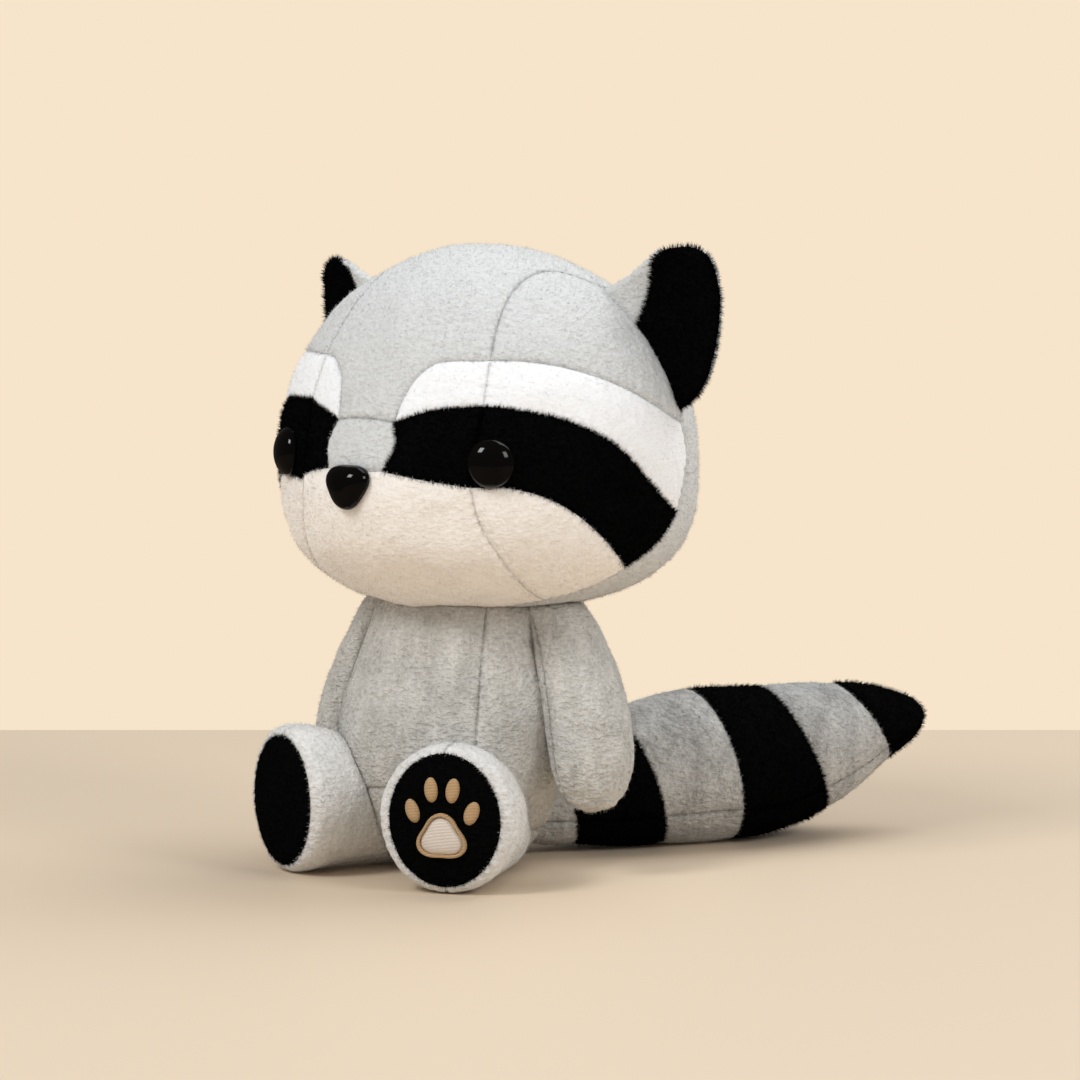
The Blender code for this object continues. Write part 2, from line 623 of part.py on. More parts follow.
def fit_shank(name, place, seat, drop, stuffing, panels):
    """The washer behind the fabric, the shank's hole with the seat round it, and the pocket behind."""
    bore, outer = SHANK_DIAMETER / 2 + SEAT_GAP, WASHER_DIAMETER / 2
    top = -FABRIC - drop
    bottom = top - WASHER_THICKNESS
    ring = [(bore, top), (outer, top), (outer, bottom), (bore, bottom), (bore, top)]
    mesh, steps = turned(f"{name}_washer", ring)
    turn_on_head(add_object(f"{name}_washer", mesh, "washer"), steps, *place)
    above = [(0.0, EYE_HEIGHT), (seat, EYE_HEIGHT), (seat, -SEAT_GAP)]
    below = [(bore, -SEAT_GAP), (bore, -EYE_HEIGHT), (0.0, -EYE_HEIGHT)]
    mesh, steps = turned(f"{name}_hole", above + below)
    hole = turn_on_head(add_cutter(f"{name}_hole", mesh), steps, *place)
    for panel in panels:
        cut(bpy.data.objects[panel], hole)
    mesh, steps = turned(f"{name}_pocket", rod(outer + SEAT_GAP, EYE_HEIGHT, -SHANK_LENGTH - SEAT_GAP))
    cut(stuffing, turn_on_head(add_cutter(f"{name}_pocket", mesh), steps, *place))


def build_nose(stuffing):
    """A rounded triangle that points down, domed in front and flat behind, with its shank."""
    bm = bmesh.new()
    bmesh.ops.create_uvsphere(bm, u_segments=16, v_segments=8, radius=1.0)
    for vert in bm.verts:
        x, y, z = vert.co
        corner = 1 + NOSE_CORNERS * math.cos(3 * (math.atan2(y, x) + math.pi / 2))
        height = NOSE_RIM + z * (NOSE_DEPTH - NOSE_RIM if z > 0 else NOSE_RIM)
        vert.co = (x * corner * NOSE_WIDTH / 2, y * corner * NOSE_TALL / 2, height)
    place = (0.0, NOSE_Z, NOSE_SINK)
    nose = stand_on_head(add_object("nose", as_mesh("nose", bm), "gloss"), *place)
    mesh, steps = turned("nose_shank", rod(SHANK_DIAMETER / 2, NOSE_RIM, -SHANK_LENGTH), 12)
    shank = turn_on_head(add_cutter("nose_shank", mesh), steps, *place)
    join = nose.modifiers.new("join_shank", "BOOLEAN")
    join.operation = "UNION"
    join.object = shank
    seat = NOSE_WIDTH / 2 * (1 + NOSE_CORNERS) + SEAT_GAP
    fit_shank("nose", place, seat, NOSE_WASHER_DROP - NOSE_SINK, stuffing, ("muzzle", "nose_bridge"))


# Ears


def ear_sheet(u, v, side):
    """Middle surface of an ear: u runs along its base from the crown, v out to its tip.

    The four edges of the flat leaf are smooth runs, filled as a Coons patch. The leaf is then
    cupped: its edges come forward of its middle.
    """
    crown, cheek = (head_point(head_place(p[0], p[1] / 1000)) for p in (EAR_CROWN_END, EAR_CHEEK_END))
    along = (cheek - crown) * [1, 0, 1]
    length = np.linalg.norm(along)
    along /= length
    out = np.array([-along[2], 0.0, along[0]])
    a, b = u[..., None], v[..., None]
    left, right = run_at(EAR_CROWN_EDGE, v), run_at(EAR_CHEEK_EDGE, v)
    base, tip = a * EAR_CHEEK_EDGE[0], run_at(EAR_TIP_EDGE, u)
    corners = a * (1 - b) * EAR_CHEEK_EDGE[0] + (1 - a) * b * EAR_TIP_EDGE[0] + a * b * EAR_TIP_EDGE[-1]
    flat = (1 - b) * base + b * tip + (1 - a) * left + a * right - corners
    flat *= length / EAR_CHEEK_EDGE[0][0]
    place = crown + along * flat[..., :1] + out * flat[..., 1:]
    place[..., 1] = crown[1] + (cheek[1] - crown[1]) * u + EAR_CUP * v * (0.5 - (2 * u - 1) ** 2)
    return mirrored(place + HEAD_CENTRE, side)


def build_ear(word, side, head_form):
    """A black front, and a grey back whose fabric wraps round the crown edge to the front."""
    half = FABRIC + EAR_PLY_GAP / 2
    forward = np.array([0.0, -1.0, 0.0])
    u, v = np.meshgrid(np.linspace(0, 1, EAR_COLUMNS), np.linspace(EAR_ROOT, 1.0, EAR_ROWS))
    wrap = EAR_WRAP * np.clip(1 - v / EAR_WRAP_END, EAR_WRAP_LEAST, 1)
    front = ear_sheet(wrap + (1 - wrap) * u, v, side) + forward * half
    cut(grid_panel(f"ear_front_{word}", front, forward + 0 * front, "black"), head_form)
    shares = np.concatenate([[1.0], np.linspace(0, 1, EAR_COLUMNS)])
    u, v = np.meshgrid(shares, np.linspace(EAR_ROOT, 1.0, EAR_ROWS))
    wrap = EAR_WRAP * np.clip(1 - v / EAR_WRAP_END, EAR_WRAP_LEAST, 1)
    wraps = np.arange(len(shares)) < 1
    middle = ear_sheet(np.where(wraps, u * wrap, u), v, side)
    outwards = ear_sheet(0 * u, v, side) - ear_sheet(0 * u + 0.1, v, side)
    outwards /= np.linalg.norm(outwards, axis=-1, keepdims=True)
    facing = np.where(wraps, 1.0, -1.0)[:, None] * forward
    normal = np.where((np.arange(len(shares)) == 1)[:, None], outwards, facing)
    cut(grid_panel(f"ear_back_{word}", middle + normal * half, normal, "grey"), head_form)


# Body


def body_point(lon, z):
    """Point on the body: rings that swell to the belly and lean back towards the neck."""
    level = z / BODY_HEIGHT
    share = profile(BODY_LEVELS, BODY_SHARES, level)
    lean = BODY_LEAN * np.clip((level - LEAN_START) / LEAN_RUN, 0, MOST_LEAN) ** LEAN_POWER
    deep = BODY_HALF_DEPTH * share * np.cos(lon)
    return np.stack([BODY_HALF_WIDTH * share * np.sin(lon), BODY_CENTRE_Y + lean - deep, z + 0 * lon], -1)


def body_surface(lon, z):
    """Points on the outer face of the body and the normals there."""
    nudge = 1e-4
    rise = body_point(lon, z + nudge) - body_point(lon, np.maximum(z - nudge, 0))
    normal = np.cross(body_point(lon + nudge, z) - body_point(lon - nudge, z), rise)
    return body_point(lon, z), normal / np.linalg.norm(normal, axis=-1, keepdims=True)


def body_solid(grown, columns, rows):
    """The closed form of the body, grown or shrunk by a distance."""
    heights = BODY_HEIGHT * np.array(rows)
    lon, z = np.meshgrid(np.linspace(-math.pi, math.pi, columns + 1), heights)
    p, normal = body_surface(lon, z)
    p = p + normal * grown
    p[..., 2] = np.clip(p[..., 2], -grown, BODY_HEIGHT + 2 * grown)
    return closed_tube(p)


def seat_seam_height(lon):
    """Height of the seam round the seat, which rises in front between the legs."""
    return SEAT_SEAM_HEIGHT + SEAT_SEAM_FRONT_RISE * np.clip(np.cos(lon), 0, 1) ** 2


def build_body(head_form):
    corner = math.radians(SIDE_SEAM_LON)
    panels = (
        ("belly", -corner, corner, 8),
        ("body_side_left", corner, math.pi, 9),
        ("body_side_right", -math.pi, -corner, 9),
    )
    for name, start, end, columns in panels:
        lon, share = np.meshgrid(np.linspace(start, end, columns), np.linspace(0, 1, 7))
        low = seat_seam_height(lon)
        place, normal = body_surface(lon, low + (BODY_HEIGHT - low) * share)
        cut(grid_panel(name, place, normal, "grey"), head_form)
    build_seat()
    solid = body_solid(-FABRIC - STUFFING_GAP, 16, BODY_STUFFING_ROWS)
    cut(add_object("body_stuffing", as_mesh("body_stuffing", solid), "stuffing"), head_form)


def build_seat():
    """The panel under the body: a flat middle, then the body's form up to the seat seam."""
    lon, share = np.meshgrid(np.linspace(-math.pi, math.pi, 21), (0, 1.0, 1.3, 1.6, 2.0))
    rim, normal = body_surface(lon, seat_seam_height(lon) * np.clip(share - 1, 0, 1))
    middle = np.array([0.0, BODY_CENTRE_Y, 0.0])
    place = middle + (rim - middle) * np.clip(share, 0, 1)[..., None]
    grid_panel("seat", place, np.where((share <= 1)[..., None], [0.0, 0.0, -1.0], normal), "grey")


# Limbs


class Limb:
    """Oval sections carried along a smooth axis."""

    def __init__(self, axis, stations, half_a, half_b, twist=0.0):
        self.axis, self.stations = np.asarray(axis, float), np.asarray(stations, float)
        self.half_a, self.half_b, self.twist = half_a, half_b, twist
        self.length = self.stations[-1]

    def middle(self, s):
        return np.stack([profile(self.stations, self.axis[:, k], s) for k in range(3)], -1)

    def along(self, s):
        nudge = 1e-3
        near = np.clip(s, nudge, self.length - nudge)
        ahead = self.middle(near + nudge) - self.middle(near - nudge)
        return ahead / np.linalg.norm(ahead, axis=-1, keepdims=True)

    def point(self, turn, s):
        """Outer point at an angle round the limb, where 0 is its front or top, and a distance along."""
        side, front = self.across(self.along(s))
        a = np.maximum(profile(self.stations, self.half_a, s), 0.0) * np.sin(turn)
        b = np.maximum(profile(self.stations, self.half_b, s), 0.0) * np.cos(turn)
        twist = self.twist * s / self.length
        sideways, forwards = a * np.cos(twist) + b * np.sin(twist), b * np.cos(twist) - a * np.sin(twist)
        return self.middle(s) + side * sideways[..., None] + front * forwards[..., None]

    def surface(self, turn, s):
        """Points on the outer face and the normals there."""
        place, nudge = self.point(turn, s), 1e-4
        near = np.minimum(s, self.length - 2 * nudge)
        run_t = self.point(turn + 0.01, near) - self.point(turn - 0.01, near)
        run_s = self.point(turn, near + nudge) - self.point(turn, np.maximum(near - nudge, 0))
        normal = np.cross(run_t, run_s)
        normal /= np.linalg.norm(normal, axis=-1, keepdims=True)
        away, along = place - self.middle(s), self.along(s)
        normal *= np.sign(np.sum(normal * (away + along * 1e-4), -1, keepdims=True))
        at_tip = (np.linalg.norm(away, axis=-1, keepdims=True) < 1e-6) & (s[..., None] > self.length / 2)
        return place, np.where(at_tip, along, normal)

    def add_stuffing(self, name, rows, columns, cutters, extra=0.0):
        """The limb's form shrunk along its normals by the fabric and a clearance."""
        turn, s = np.meshgrid(np.linspace(0, 2 * math.pi, columns + 1), rows)
        place, normal = self.surface(turn, s)
        solid = closed_tube(place - normal * (FABRIC + STUFFING_GAP + extra))
        cut(add_object(name, as_mesh(name, solid), "stuffing"), *cutters)


class Arm(Limb):
    def across(self, along):
        """Directions across the arm: away from the body, and forward."""
        side = np.cross(np.broadcast_to([0.0, -1.0, 0.0], along.shape), along)
        side /= np.linalg.norm(side, axis=-1, keepdims=True)
        return side, np.cross(along, side)


class Lying(Limb):
    def across(self, along):
        """Directions across the limb: level, and up."""
        side = np.cross(along, np.broadcast_to([0.0, 0.0, 1.0], along.shape))
        side /= np.linalg.norm(side, axis=-1, keepdims=True)
        return side, np.cross(side, along)


def arm_form(side):
    """An arm hangs from its shoulder, swings out and ahead, and ends in a blunt paw."""
    stations, share = ARM_LENGTH * np.array(ARM_STATIONS), np.array(ARM_SHARES)
    swing = np.stack([ARM_OUT, np.negative(ARM_AHEAD), np.negative(ARM_DOWN)], -1)
    axis = mirrored(SHOULDER + ARM_LENGTH * swing, side)
    twist = math.radians(-ARM_TWIST) * side
    return Arm(axis, stations, ARM_HALF_THICK * share, ARM_HALF_DEEP * share, twist)


def build_arm(word, side, cutters):
    """Two panels, sewn down the front and the back of the arm, and the stuffing in them."""
    form = arm_form(side)
    rows = form.length * np.array(ARM_ROWS)
    for name, start in (("outer", 0.0), ("inner", math.pi)):
        turn, s = np.meshgrid(start + np.linspace(0, math.pi, 6), rows)
        cut(grid_panel(f"arm_{name}_{word}", *form.surface(turn * side, s), "grey"), *cutters)
    form.add_stuffing(f"arm_stuffing_{word}", rows, 10, cutters)


def leg_form(side):
    """A leg lies on the floor and widens to its foot, whose rim turns in to the sole."""
    tall = np.array([*(FOOT_HALF_HEIGHT * share for share in LEG_HEIGHTS), SOLE_HALF_HEIGHT])
    wide = np.array([*(FOOT_HALF_WIDTH * share for share in LEG_WIDTHS), SOLE_HALF_WIDTH])
    share = np.array(LEG_STATIONS)
    level = np.outer(1 - share, HIP) + np.outer(share, SOLE_CENTRE)
    height = np.where(np.arange(len(tall)) < tall.argmax(), tall, FOOT_HALF_HEIGHT)
    axis = mirrored(np.column_stack([level, height]), side)
    return Lying(axis, LEG_LENGTH * share, wide, tall)


def mitre(one, other):
    """Normals halfway between those of two panels that meet at an edge."""
    return (one + other) / np.linalg.norm(one + other, axis=-1, keepdims=True)


def build_leg(word, side, cutters):
    """Two panels, sewn along the top and the underside, the sole and the stuffing."""
    form = leg_form(side)
    rows = form.length * np.array(LEG_ROWS)
    for name, start in (("inner", 0.0), ("outer", math.pi)):
        turn, s = np.meshgrid(start + np.linspace(0, math.pi, 8), rows)
        place, normal = form.surface(turn * side, s)
        normal[-1] = mitre(normal[-1], form.along(s[-1]))
        cut(grid_panel(f"leg_{name}_{word}", place, normal, "grey"), *cutters)
    turn, share = np.meshgrid(np.linspace(0, 2 * math.pi, 15), (0, 0.6, 1.0))
    centre, along = form.middle(np.array([[form.length]])), form.along(np.array([[form.length]]))
    rim, edge = form.surface(turn, form.length + 0 * turn)
    place = centre + (rim - centre) * share[..., None] + along * (SOLE_BULGE * (1 - share**2))[..., None]
    normal = np.where(share[..., None] < 1, along, mitre(edge, along))
    grid_panel(f"sole_{word}", place, normal, "black")
    inner_rows = np.minimum(rows, form.length - FABRIC - STUFFING_GAP)
    form.add_stuffing(f"leg_stuffing_{word}", inner_rows, 12, cutters)


# Tail


def tail_form():
    """The tail lies on the floor, fattest at its middle, and lifts to its pointed tip."""
    stations = TAIL_LENGTH * np.array(TAIL_STATIONS)
    half, height = TAIL_HALF_WIDTH * np.array(TAIL_SHARES), TAIL_HALF_WIDTH * np.array(TAIL_HEIGHTS)
    heading = math.radians(TAIL_HEADING)
    level = np.outer(stations, (math.sin(heading), math.cos(heading))) + TAIL_ROOT
    return Lying(np.column_stack([level, height]), stations, half, half)


def build_tail(cutters):
    """Bands of alternate colours with a seam along them, the tip and the stuffing."""
    form = tail_form()
    edges = TAIL_LENGTH * np.array([*TAIL_RINGS, 1.0])
    names = ["tail_root", *(f"tail_ring_{k}" for k in range(1, len(TAIL_RINGS) - 1)), "tail_tip"]
    columns = np.arange(TAIL_COLUMNS + 1)
    for k, name in enumerate(names):
        rows = np.linspace(edges[k], edges[k + 1], 6 if name == "tail_tip" else 3)
        turn, s = np.meshgrid(columns * 2 * math.pi / TAIL_COLUMNS, rows)
        s = s - TAIL_RING_SLANT * np.cos(turn) * np.interp(s, edges[[0, 1, -2, -1]], (0, 1, 1, 0))
        place, normal = form.surface(turn, s)
        sink = TAIL_SEAM_SINK * (columns == TAIL_SEAM_COLUMN) * (s < TAIL_LENGTH)
        place = place - normal * sink[..., None]
        cut(grid_panel(name, place, normal, "black" if k % 2 else "grey"), *(cutters if k < 2 else ()))
    rows = TAIL_LENGTH * np.array(TAIL_STUFFING_ROWS)
    form.add_stuffing("tail_stuffing", rows, TAIL_COLUMNS, cutters, TAIL_SEAM_SINK)


# Assembly

clear_scene()
TOY = make_collection("plush_raccoon")
CUTTERS = make_collection("cutters")
head_form = add_cutter("head_form", as_mesh("head_form", head_solid(CUT_GAP, 4)))
body_form = add_cutter("body_form", as_mesh("body_form", body_solid(CUT_GAP, 36, BODY_CUT_ROWS)))
head_stuffing = build_head()
for word, side in SIDES.items():
    build_eye(word, side, head_stuffing)
    build_ear(word, side, head_form)
    build_arm(word, side, (body_form, head_form))
    build_leg(word, side, (body_form,))
build_nose(head_stuffing)
build_body(head_form)
build_tail((body_form,))
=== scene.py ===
"""Sitting plush raccoon with a ringed tail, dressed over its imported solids.

Sizes are in metres, in the frame of the solids: the face looks along -Y, the toy's left side is at
+X and the floor is at Z = 0. Every fabric panel is a grid laid on the form of the stuffed toy, sunk
along its seams and roughened by its pile.
"""

import logging
import math
from dataclasses import dataclass
from enum import Enum
from functools import cached_property, partial
from typing import Callable

import bpy
import numpy as np
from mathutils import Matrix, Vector

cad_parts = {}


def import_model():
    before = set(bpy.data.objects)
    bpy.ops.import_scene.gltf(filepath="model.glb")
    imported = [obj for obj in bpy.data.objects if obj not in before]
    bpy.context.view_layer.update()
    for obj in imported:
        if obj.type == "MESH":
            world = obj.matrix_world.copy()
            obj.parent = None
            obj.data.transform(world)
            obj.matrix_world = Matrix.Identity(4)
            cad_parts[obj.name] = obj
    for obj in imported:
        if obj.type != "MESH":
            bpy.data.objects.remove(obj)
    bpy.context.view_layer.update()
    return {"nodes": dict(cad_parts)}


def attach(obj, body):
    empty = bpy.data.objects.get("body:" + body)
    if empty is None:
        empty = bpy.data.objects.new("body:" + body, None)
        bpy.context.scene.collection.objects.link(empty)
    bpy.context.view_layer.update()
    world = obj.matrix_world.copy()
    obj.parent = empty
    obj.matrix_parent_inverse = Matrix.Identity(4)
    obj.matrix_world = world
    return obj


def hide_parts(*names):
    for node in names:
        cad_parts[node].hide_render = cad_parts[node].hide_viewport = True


Array = np.ndarray
Colour = tuple[float, float, float]
Place = tuple[float, float, float]
Pair = tuple[Array, Array]
Inputs = dict[str | int, object]
LOG = logging.getLogger("plush_raccoon")
DOWN = np.array([0.0, 0.0, -1.0])
HASH = (73856093, 19349663, 83492791, 40503)  # large primes that scatter a lattice's corners
HASH_MIX = 1274126177
BLOCK = 3000  # points measured against a border at a time
STEP = 1e-3  # of the central differences along an axis and over the head
NUDGE, TURN_NUDGE = 1e-4, 1e-2  # of those over the body and the limbs
POINT = 1e-6  # a size that counts as none
CELL = 0.0008  # of a fabric grid
UV_EDGE, UV_TURNED_IN = 0.03, 1.06  # margin of a panel's UV map, and how far its rim grows


# Curves and noise


def profile(stations: Array, values: Array, at: Array) -> Array:
    """Smooth values between stations.

    Each piece is a cubic Hermite: its ends take the values of the two stations, and their mean
    slopes.

    Args:
        stations: Rising places of the known values.
        values: The known values.
        at: Places to read.

    Returns:
        The values at those places.
    """
    x, y = np.asarray(stations, float), np.asarray(values, float)
    slope = np.gradient(y, x)
    at = np.clip(at, x[0], x[-1])
    i = np.clip(np.searchsorted(x, at) - 1, 0, len(x) - 2)
    h = x[i + 1] - x[i]
    t = (at - x[i]) / h
    start = (2 * t**3 - 3 * t**2 + 1) * y[i] + (t**3 - 2 * t**2 + t) * h * slope[i]
    return start + (3 * t**2 - 2 * t**3) * y[i + 1] + (t**3 - t**2) * h * slope[i + 1]


def smooth_curve(points: Array, per_run: int = 24) -> Array:
    """A Catmull-Rom curve through the points.

    Between two points, the place is half of the cubic in t whose slopes at its ends are those of
    the chords of their neighbours.

    Args:
        points: Places on the curve, in order.
        per_run: Steps between two of them.

    Returns:
        The sampled curve, with both ends.
    """
    pts = np.asarray(points, float)
    ends = np.vstack([2 * pts[0] - pts[1], pts, 2 * pts[-1] - pts[-2]])
    t = (np.arange(per_run) / per_run)[:, None]
    runs = []
    for p0, p1, p2, p3 in zip(ends, ends[1:], ends[2:], ends[3:]):
        bend = (2 * p0 - 5 * p1 + 4 * p2 - p3) * t**2 + (3 * p1 - p0 - 3 * p2 + p3) * t**3
        runs.append(0.5 * (2 * p1 + (p2 - p0) * t + bend))
    return np.vstack([*runs, pts[-1:]])


def lengths_along(points: Array) -> Array:
    """Distance travelled at each point of a run."""
    return np.concatenate([[0.0], np.linalg.norm(np.diff(points, axis=0), axis=1).cumsum()])


def resampled(points: Array, at: Array) -> Array:
    """Points of a run at shares of its length.

    Args:
        points: The run.
        at: Shares from 0 to 1, of any shape.

    Returns:
        One point for each share.
    """
    travelled = lengths_along(points)
    place = at * travelled[-1]
    return np.stack([np.interp(place, travelled, column) for column in points.T], -1)


def lattice_noise(points: Array, size: float, seed: int) -> Array:
    """Smooth noise from -1 to 1 in space.

    A hash gives each corner of a cubic lattice its value, and a point blends the eight corners of
    its cell with smoothstep weights.

    Args:
        points: Places to read.
        size: Edge of the lattice's cells.
        seed: Picks another pattern.

    Returns:
        One value for each place.
    """
    cell = np.floor(points / size).astype(np.int64)
    t = points / size - cell
    t = t * t * (3 - 2 * t)
    total = np.zeros(points.shape[:-1])
    for corner in np.ndindex(2, 2, 2):
        x, y, z = np.moveaxis(cell + corner, -1, 0)
        mixed = (x * HASH[0]) ^ (y * HASH[1]) ^ (z * HASH[2]) ^ (seed * HASH[3])
        mixed = ((mixed ^ (mixed >> 13)) * HASH_MIX) & 0xFFFFFFFF
        value = ((mixed ^ (mixed >> 16)) & 0xFFFF) / 32767.5 - 1
        total += value * np.prod(np.where(corner, t, 1 - t), axis=-1)
    return total


def layered(points: Array, layers: tuple[tuple[float, float, int], ...]) -> Array:
    """The sum of several noises, each given by its weight, its size and its seed."""
    return sum(weight * lattice_noise(points, size, seed) for weight, size, seed in layers)


def nearest(border: Array, points: Array) -> Pair:
    """Distance from each point to the closest point of a border, and that point's number.

    The squared distances come from the squares and the dot products, a block of points at a time.

    Args:
        border: Points of the border, one a row.
        points: Points to measure, one a row.

    Returns:
        The distances and the numbers.
    """
    distances, numbers = [], []
    for block in np.array_split(points, max(1, len(points) // BLOCK)):
        squares = (block**2).sum(1)[:, None] + (border**2).sum(1) - 2 * block @ border.T
        number = squares.argmin(1)
        numbers.append(number)
        distances.append(np.sqrt(np.maximum(squares[np.arange(len(block)), number], 0)))
    return np.concatenate(distances), np.concatenate(numbers)


def unit(vectors: Array) -> Array:
    """The vectors at length 1."""
    return vectors / np.maximum(np.linalg.norm(vectors, axis=-1, keepdims=True), 1e-12)


# Forms of the stuffed toy


@dataclass(frozen=True)
class HeadForm:
    """The head: a superellipsoid with a fuller lower half and a soft muzzle."""

    centre: tuple[float, float, float] = (0.0, 0.018, 0.128)
    half_width: float = 0.068
    half_depth: float = 0.060
    back_depth: float = 0.063
    rise: float = 0.0657
    drop: float = 0.0465
    crown_roundness: float = 2.0
    chin_roundness: float = 2.9
    muzzle_bulge: float = 0.0075
    muzzle_half_width: float = 0.024
    muzzle_rise: float = 0.019
    muzzle_drop: float = 0.024
    muzzle_z: float = -0.010
    muzzle_fade: float = 0.4
    steep: float = 0.9

    def halves(self, up: Array) -> Pair:
        """Height of the crown or the chin, and the power that rounds it."""
        power = np.where(up, self.crown_roundness, self.chin_roundness)
        return np.where(up, self.rise, self.drop), power

    def point(self, direction: Array) -> Array:
        """Point on the form in a direction from its centre.

        The reach is where level^power + |height / tall|^power is 1, and level is the share of the
        widest oval. The muzzle adds a Gaussian bump that fades out at the sides of the face.

        Args:
            direction: Directions of any length.

        Returns:
            Points from the head's centre.
        """
        d = unit(direction)
        depth = np.where(d[..., 1] < 0, self.half_depth, self.back_depth)
        level = np.hypot(d[..., 0] / self.half_width, d[..., 1] / depth)
        tall, power = self.halves(d[..., 2] >= 0)
        reach = (level**power + np.abs(d[..., 2] / tall) ** power) ** (-1 / power)
        p = d * reach[..., None]
        above = p[..., 2] - self.muzzle_z
        spread = np.where(above > 0, self.muzzle_rise, self.muzzle_drop)
        away = (p[..., 0] / self.muzzle_half_width) ** 2 + (above / spread) ** 2
        faced = np.clip(-d[..., 1] / self.muzzle_fade, 0, 1) ** 2
        return p + d * (self.muzzle_bulge * np.exp(-away) * faced)[..., None]

    def surface(self, direction: Array) -> Pair:
        """Points of the form and the normals there, from its central differences.

        Args:
            direction: Directions from the head's centre.

        Returns:
            The points in the frame and the normals.
        """
        d = unit(direction)
        steep = np.abs(d[..., 2:]) > self.steep
        aside = np.cross(d, np.where(steep, [0.0, 1.0, 0.0], [0.0, 0.0, 1.0])) * 2 * STEP
        above = np.cross(aside, d)
        run_a = self.point(d + aside) - self.point(d - aside)
        run_b = self.point(d + above) - self.point(d - above)
        normal = unit(np.cross(run_b, run_a))
        return self.point(d) + self.centre, normal * np.sign(np.sum(normal * d, -1, keepdims=True))

    def place(self, lon: Array, z: Array) -> Array:
        """Direction of a place on the form, from the oval ring at its height.

        Args:
            lon: Degrees round from the face's middle.
            z: Heights from the head's centre.

        Returns:
            Directions from the centre.
        """
        lon, z = np.radians(lon), np.asarray(z, float)
        tall, power = self.halves(z >= 0)
        ring = np.clip(1 - np.abs(z / tall) ** power, 0, 1) ** (1 / power)
        depth = np.where(np.cos(lon) > 0, self.half_depth, self.back_depth)
        x, y = self.half_width * ring * np.sin(lon), -depth * ring * np.cos(lon)
        return np.stack([x, y, z + 0 * lon], -1)

    def level(self, points: Array) -> Array:
        """How far points are outside the form, as a share of its size. It is negative inside."""
        away = points - self.centre
        return np.linalg.norm(away, axis=-1) / np.linalg.norm(self.point(away), axis=-1) - 1


@dataclass(frozen=True)
class BodyForm:
    """The body: oval rings that swell to the belly and lean back towards the neck."""

    half_width: float = 0.0370
    half_depth: float = 0.0355
    height: float = 0.0900
    centre_y: float = 0.0020
    lean: float = 0.0075
    lean_from: float = 0.035
    lean_over: float = 0.045
    lean_most: float = 1.4
    lean_power: float = 1.3
    stations: tuple = (
        0, 0.003, 0.008, 0.015, 0.022, 0.030, 0.038, 0.045, 0.055, 0.065, 0.075, 0.090
    )
    shares: tuple = (0.40, 0.54, 0.67, 0.80, 0.89, 0.96, 0.995, 1.0, 0.965, 0.905, 0.84, 0.77)

    def ring(self, z: Array) -> Pair:
        """Share of the full girth and the middle's Y at a height."""
        lean = np.clip((z - self.lean_from) / self.lean_over, 0, self.lean_most) ** self.lean_power
        return profile(self.stations, self.shares, z), self.centre_y + self.lean * lean

    def point(self, lon: Array, z: Array) -> Array:
        """Point on the form: an oval scaled by the ring's share.

        Args:
            lon: Angles from the front.
            z: Heights.

        Returns:
            The points.
        """
        share, middle = self.ring(z)
        x = self.half_width * share * np.sin(lon)
        return np.stack([x, middle - self.half_depth * share * np.cos(lon), z + 0 * lon], -1)

    def surface(self, lon: Array, z: Array) -> Pair:
        """Points of the form and the normals there, from its central differences.

        Args:
            lon: Angles from the front.
            z: Heights.

        Returns:
            The points and the normals.
        """
        rise = self.point(lon, z + NUDGE) - self.point(lon, np.maximum(z - NUDGE, 0))
        normal = np.cross(self.point(lon + NUDGE, z) - self.point(lon - NUDGE, z), rise)
        return self.point(lon, z), unit(normal)

    def level(self, points: Array) -> Array:
        """How far points are outside the form, as a share of its girth.

        Args:
            points: Places in the frame.

        Returns:
            Values that are negative inside, and 1 over or under the body.
        """
        x, y, z = np.moveaxis(points, -1, 0)
        share, middle = self.ring(z)
        out = np.hypot(x / self.half_width, (y - middle) / self.half_depth) / share - 1
        return np.where((z < 0) | (z > self.height), 1.0, out)


class Stance(Enum):
    """How a limb's sections are turned round its axis."""

    HANGING = "hanging"
    LYING = "lying"


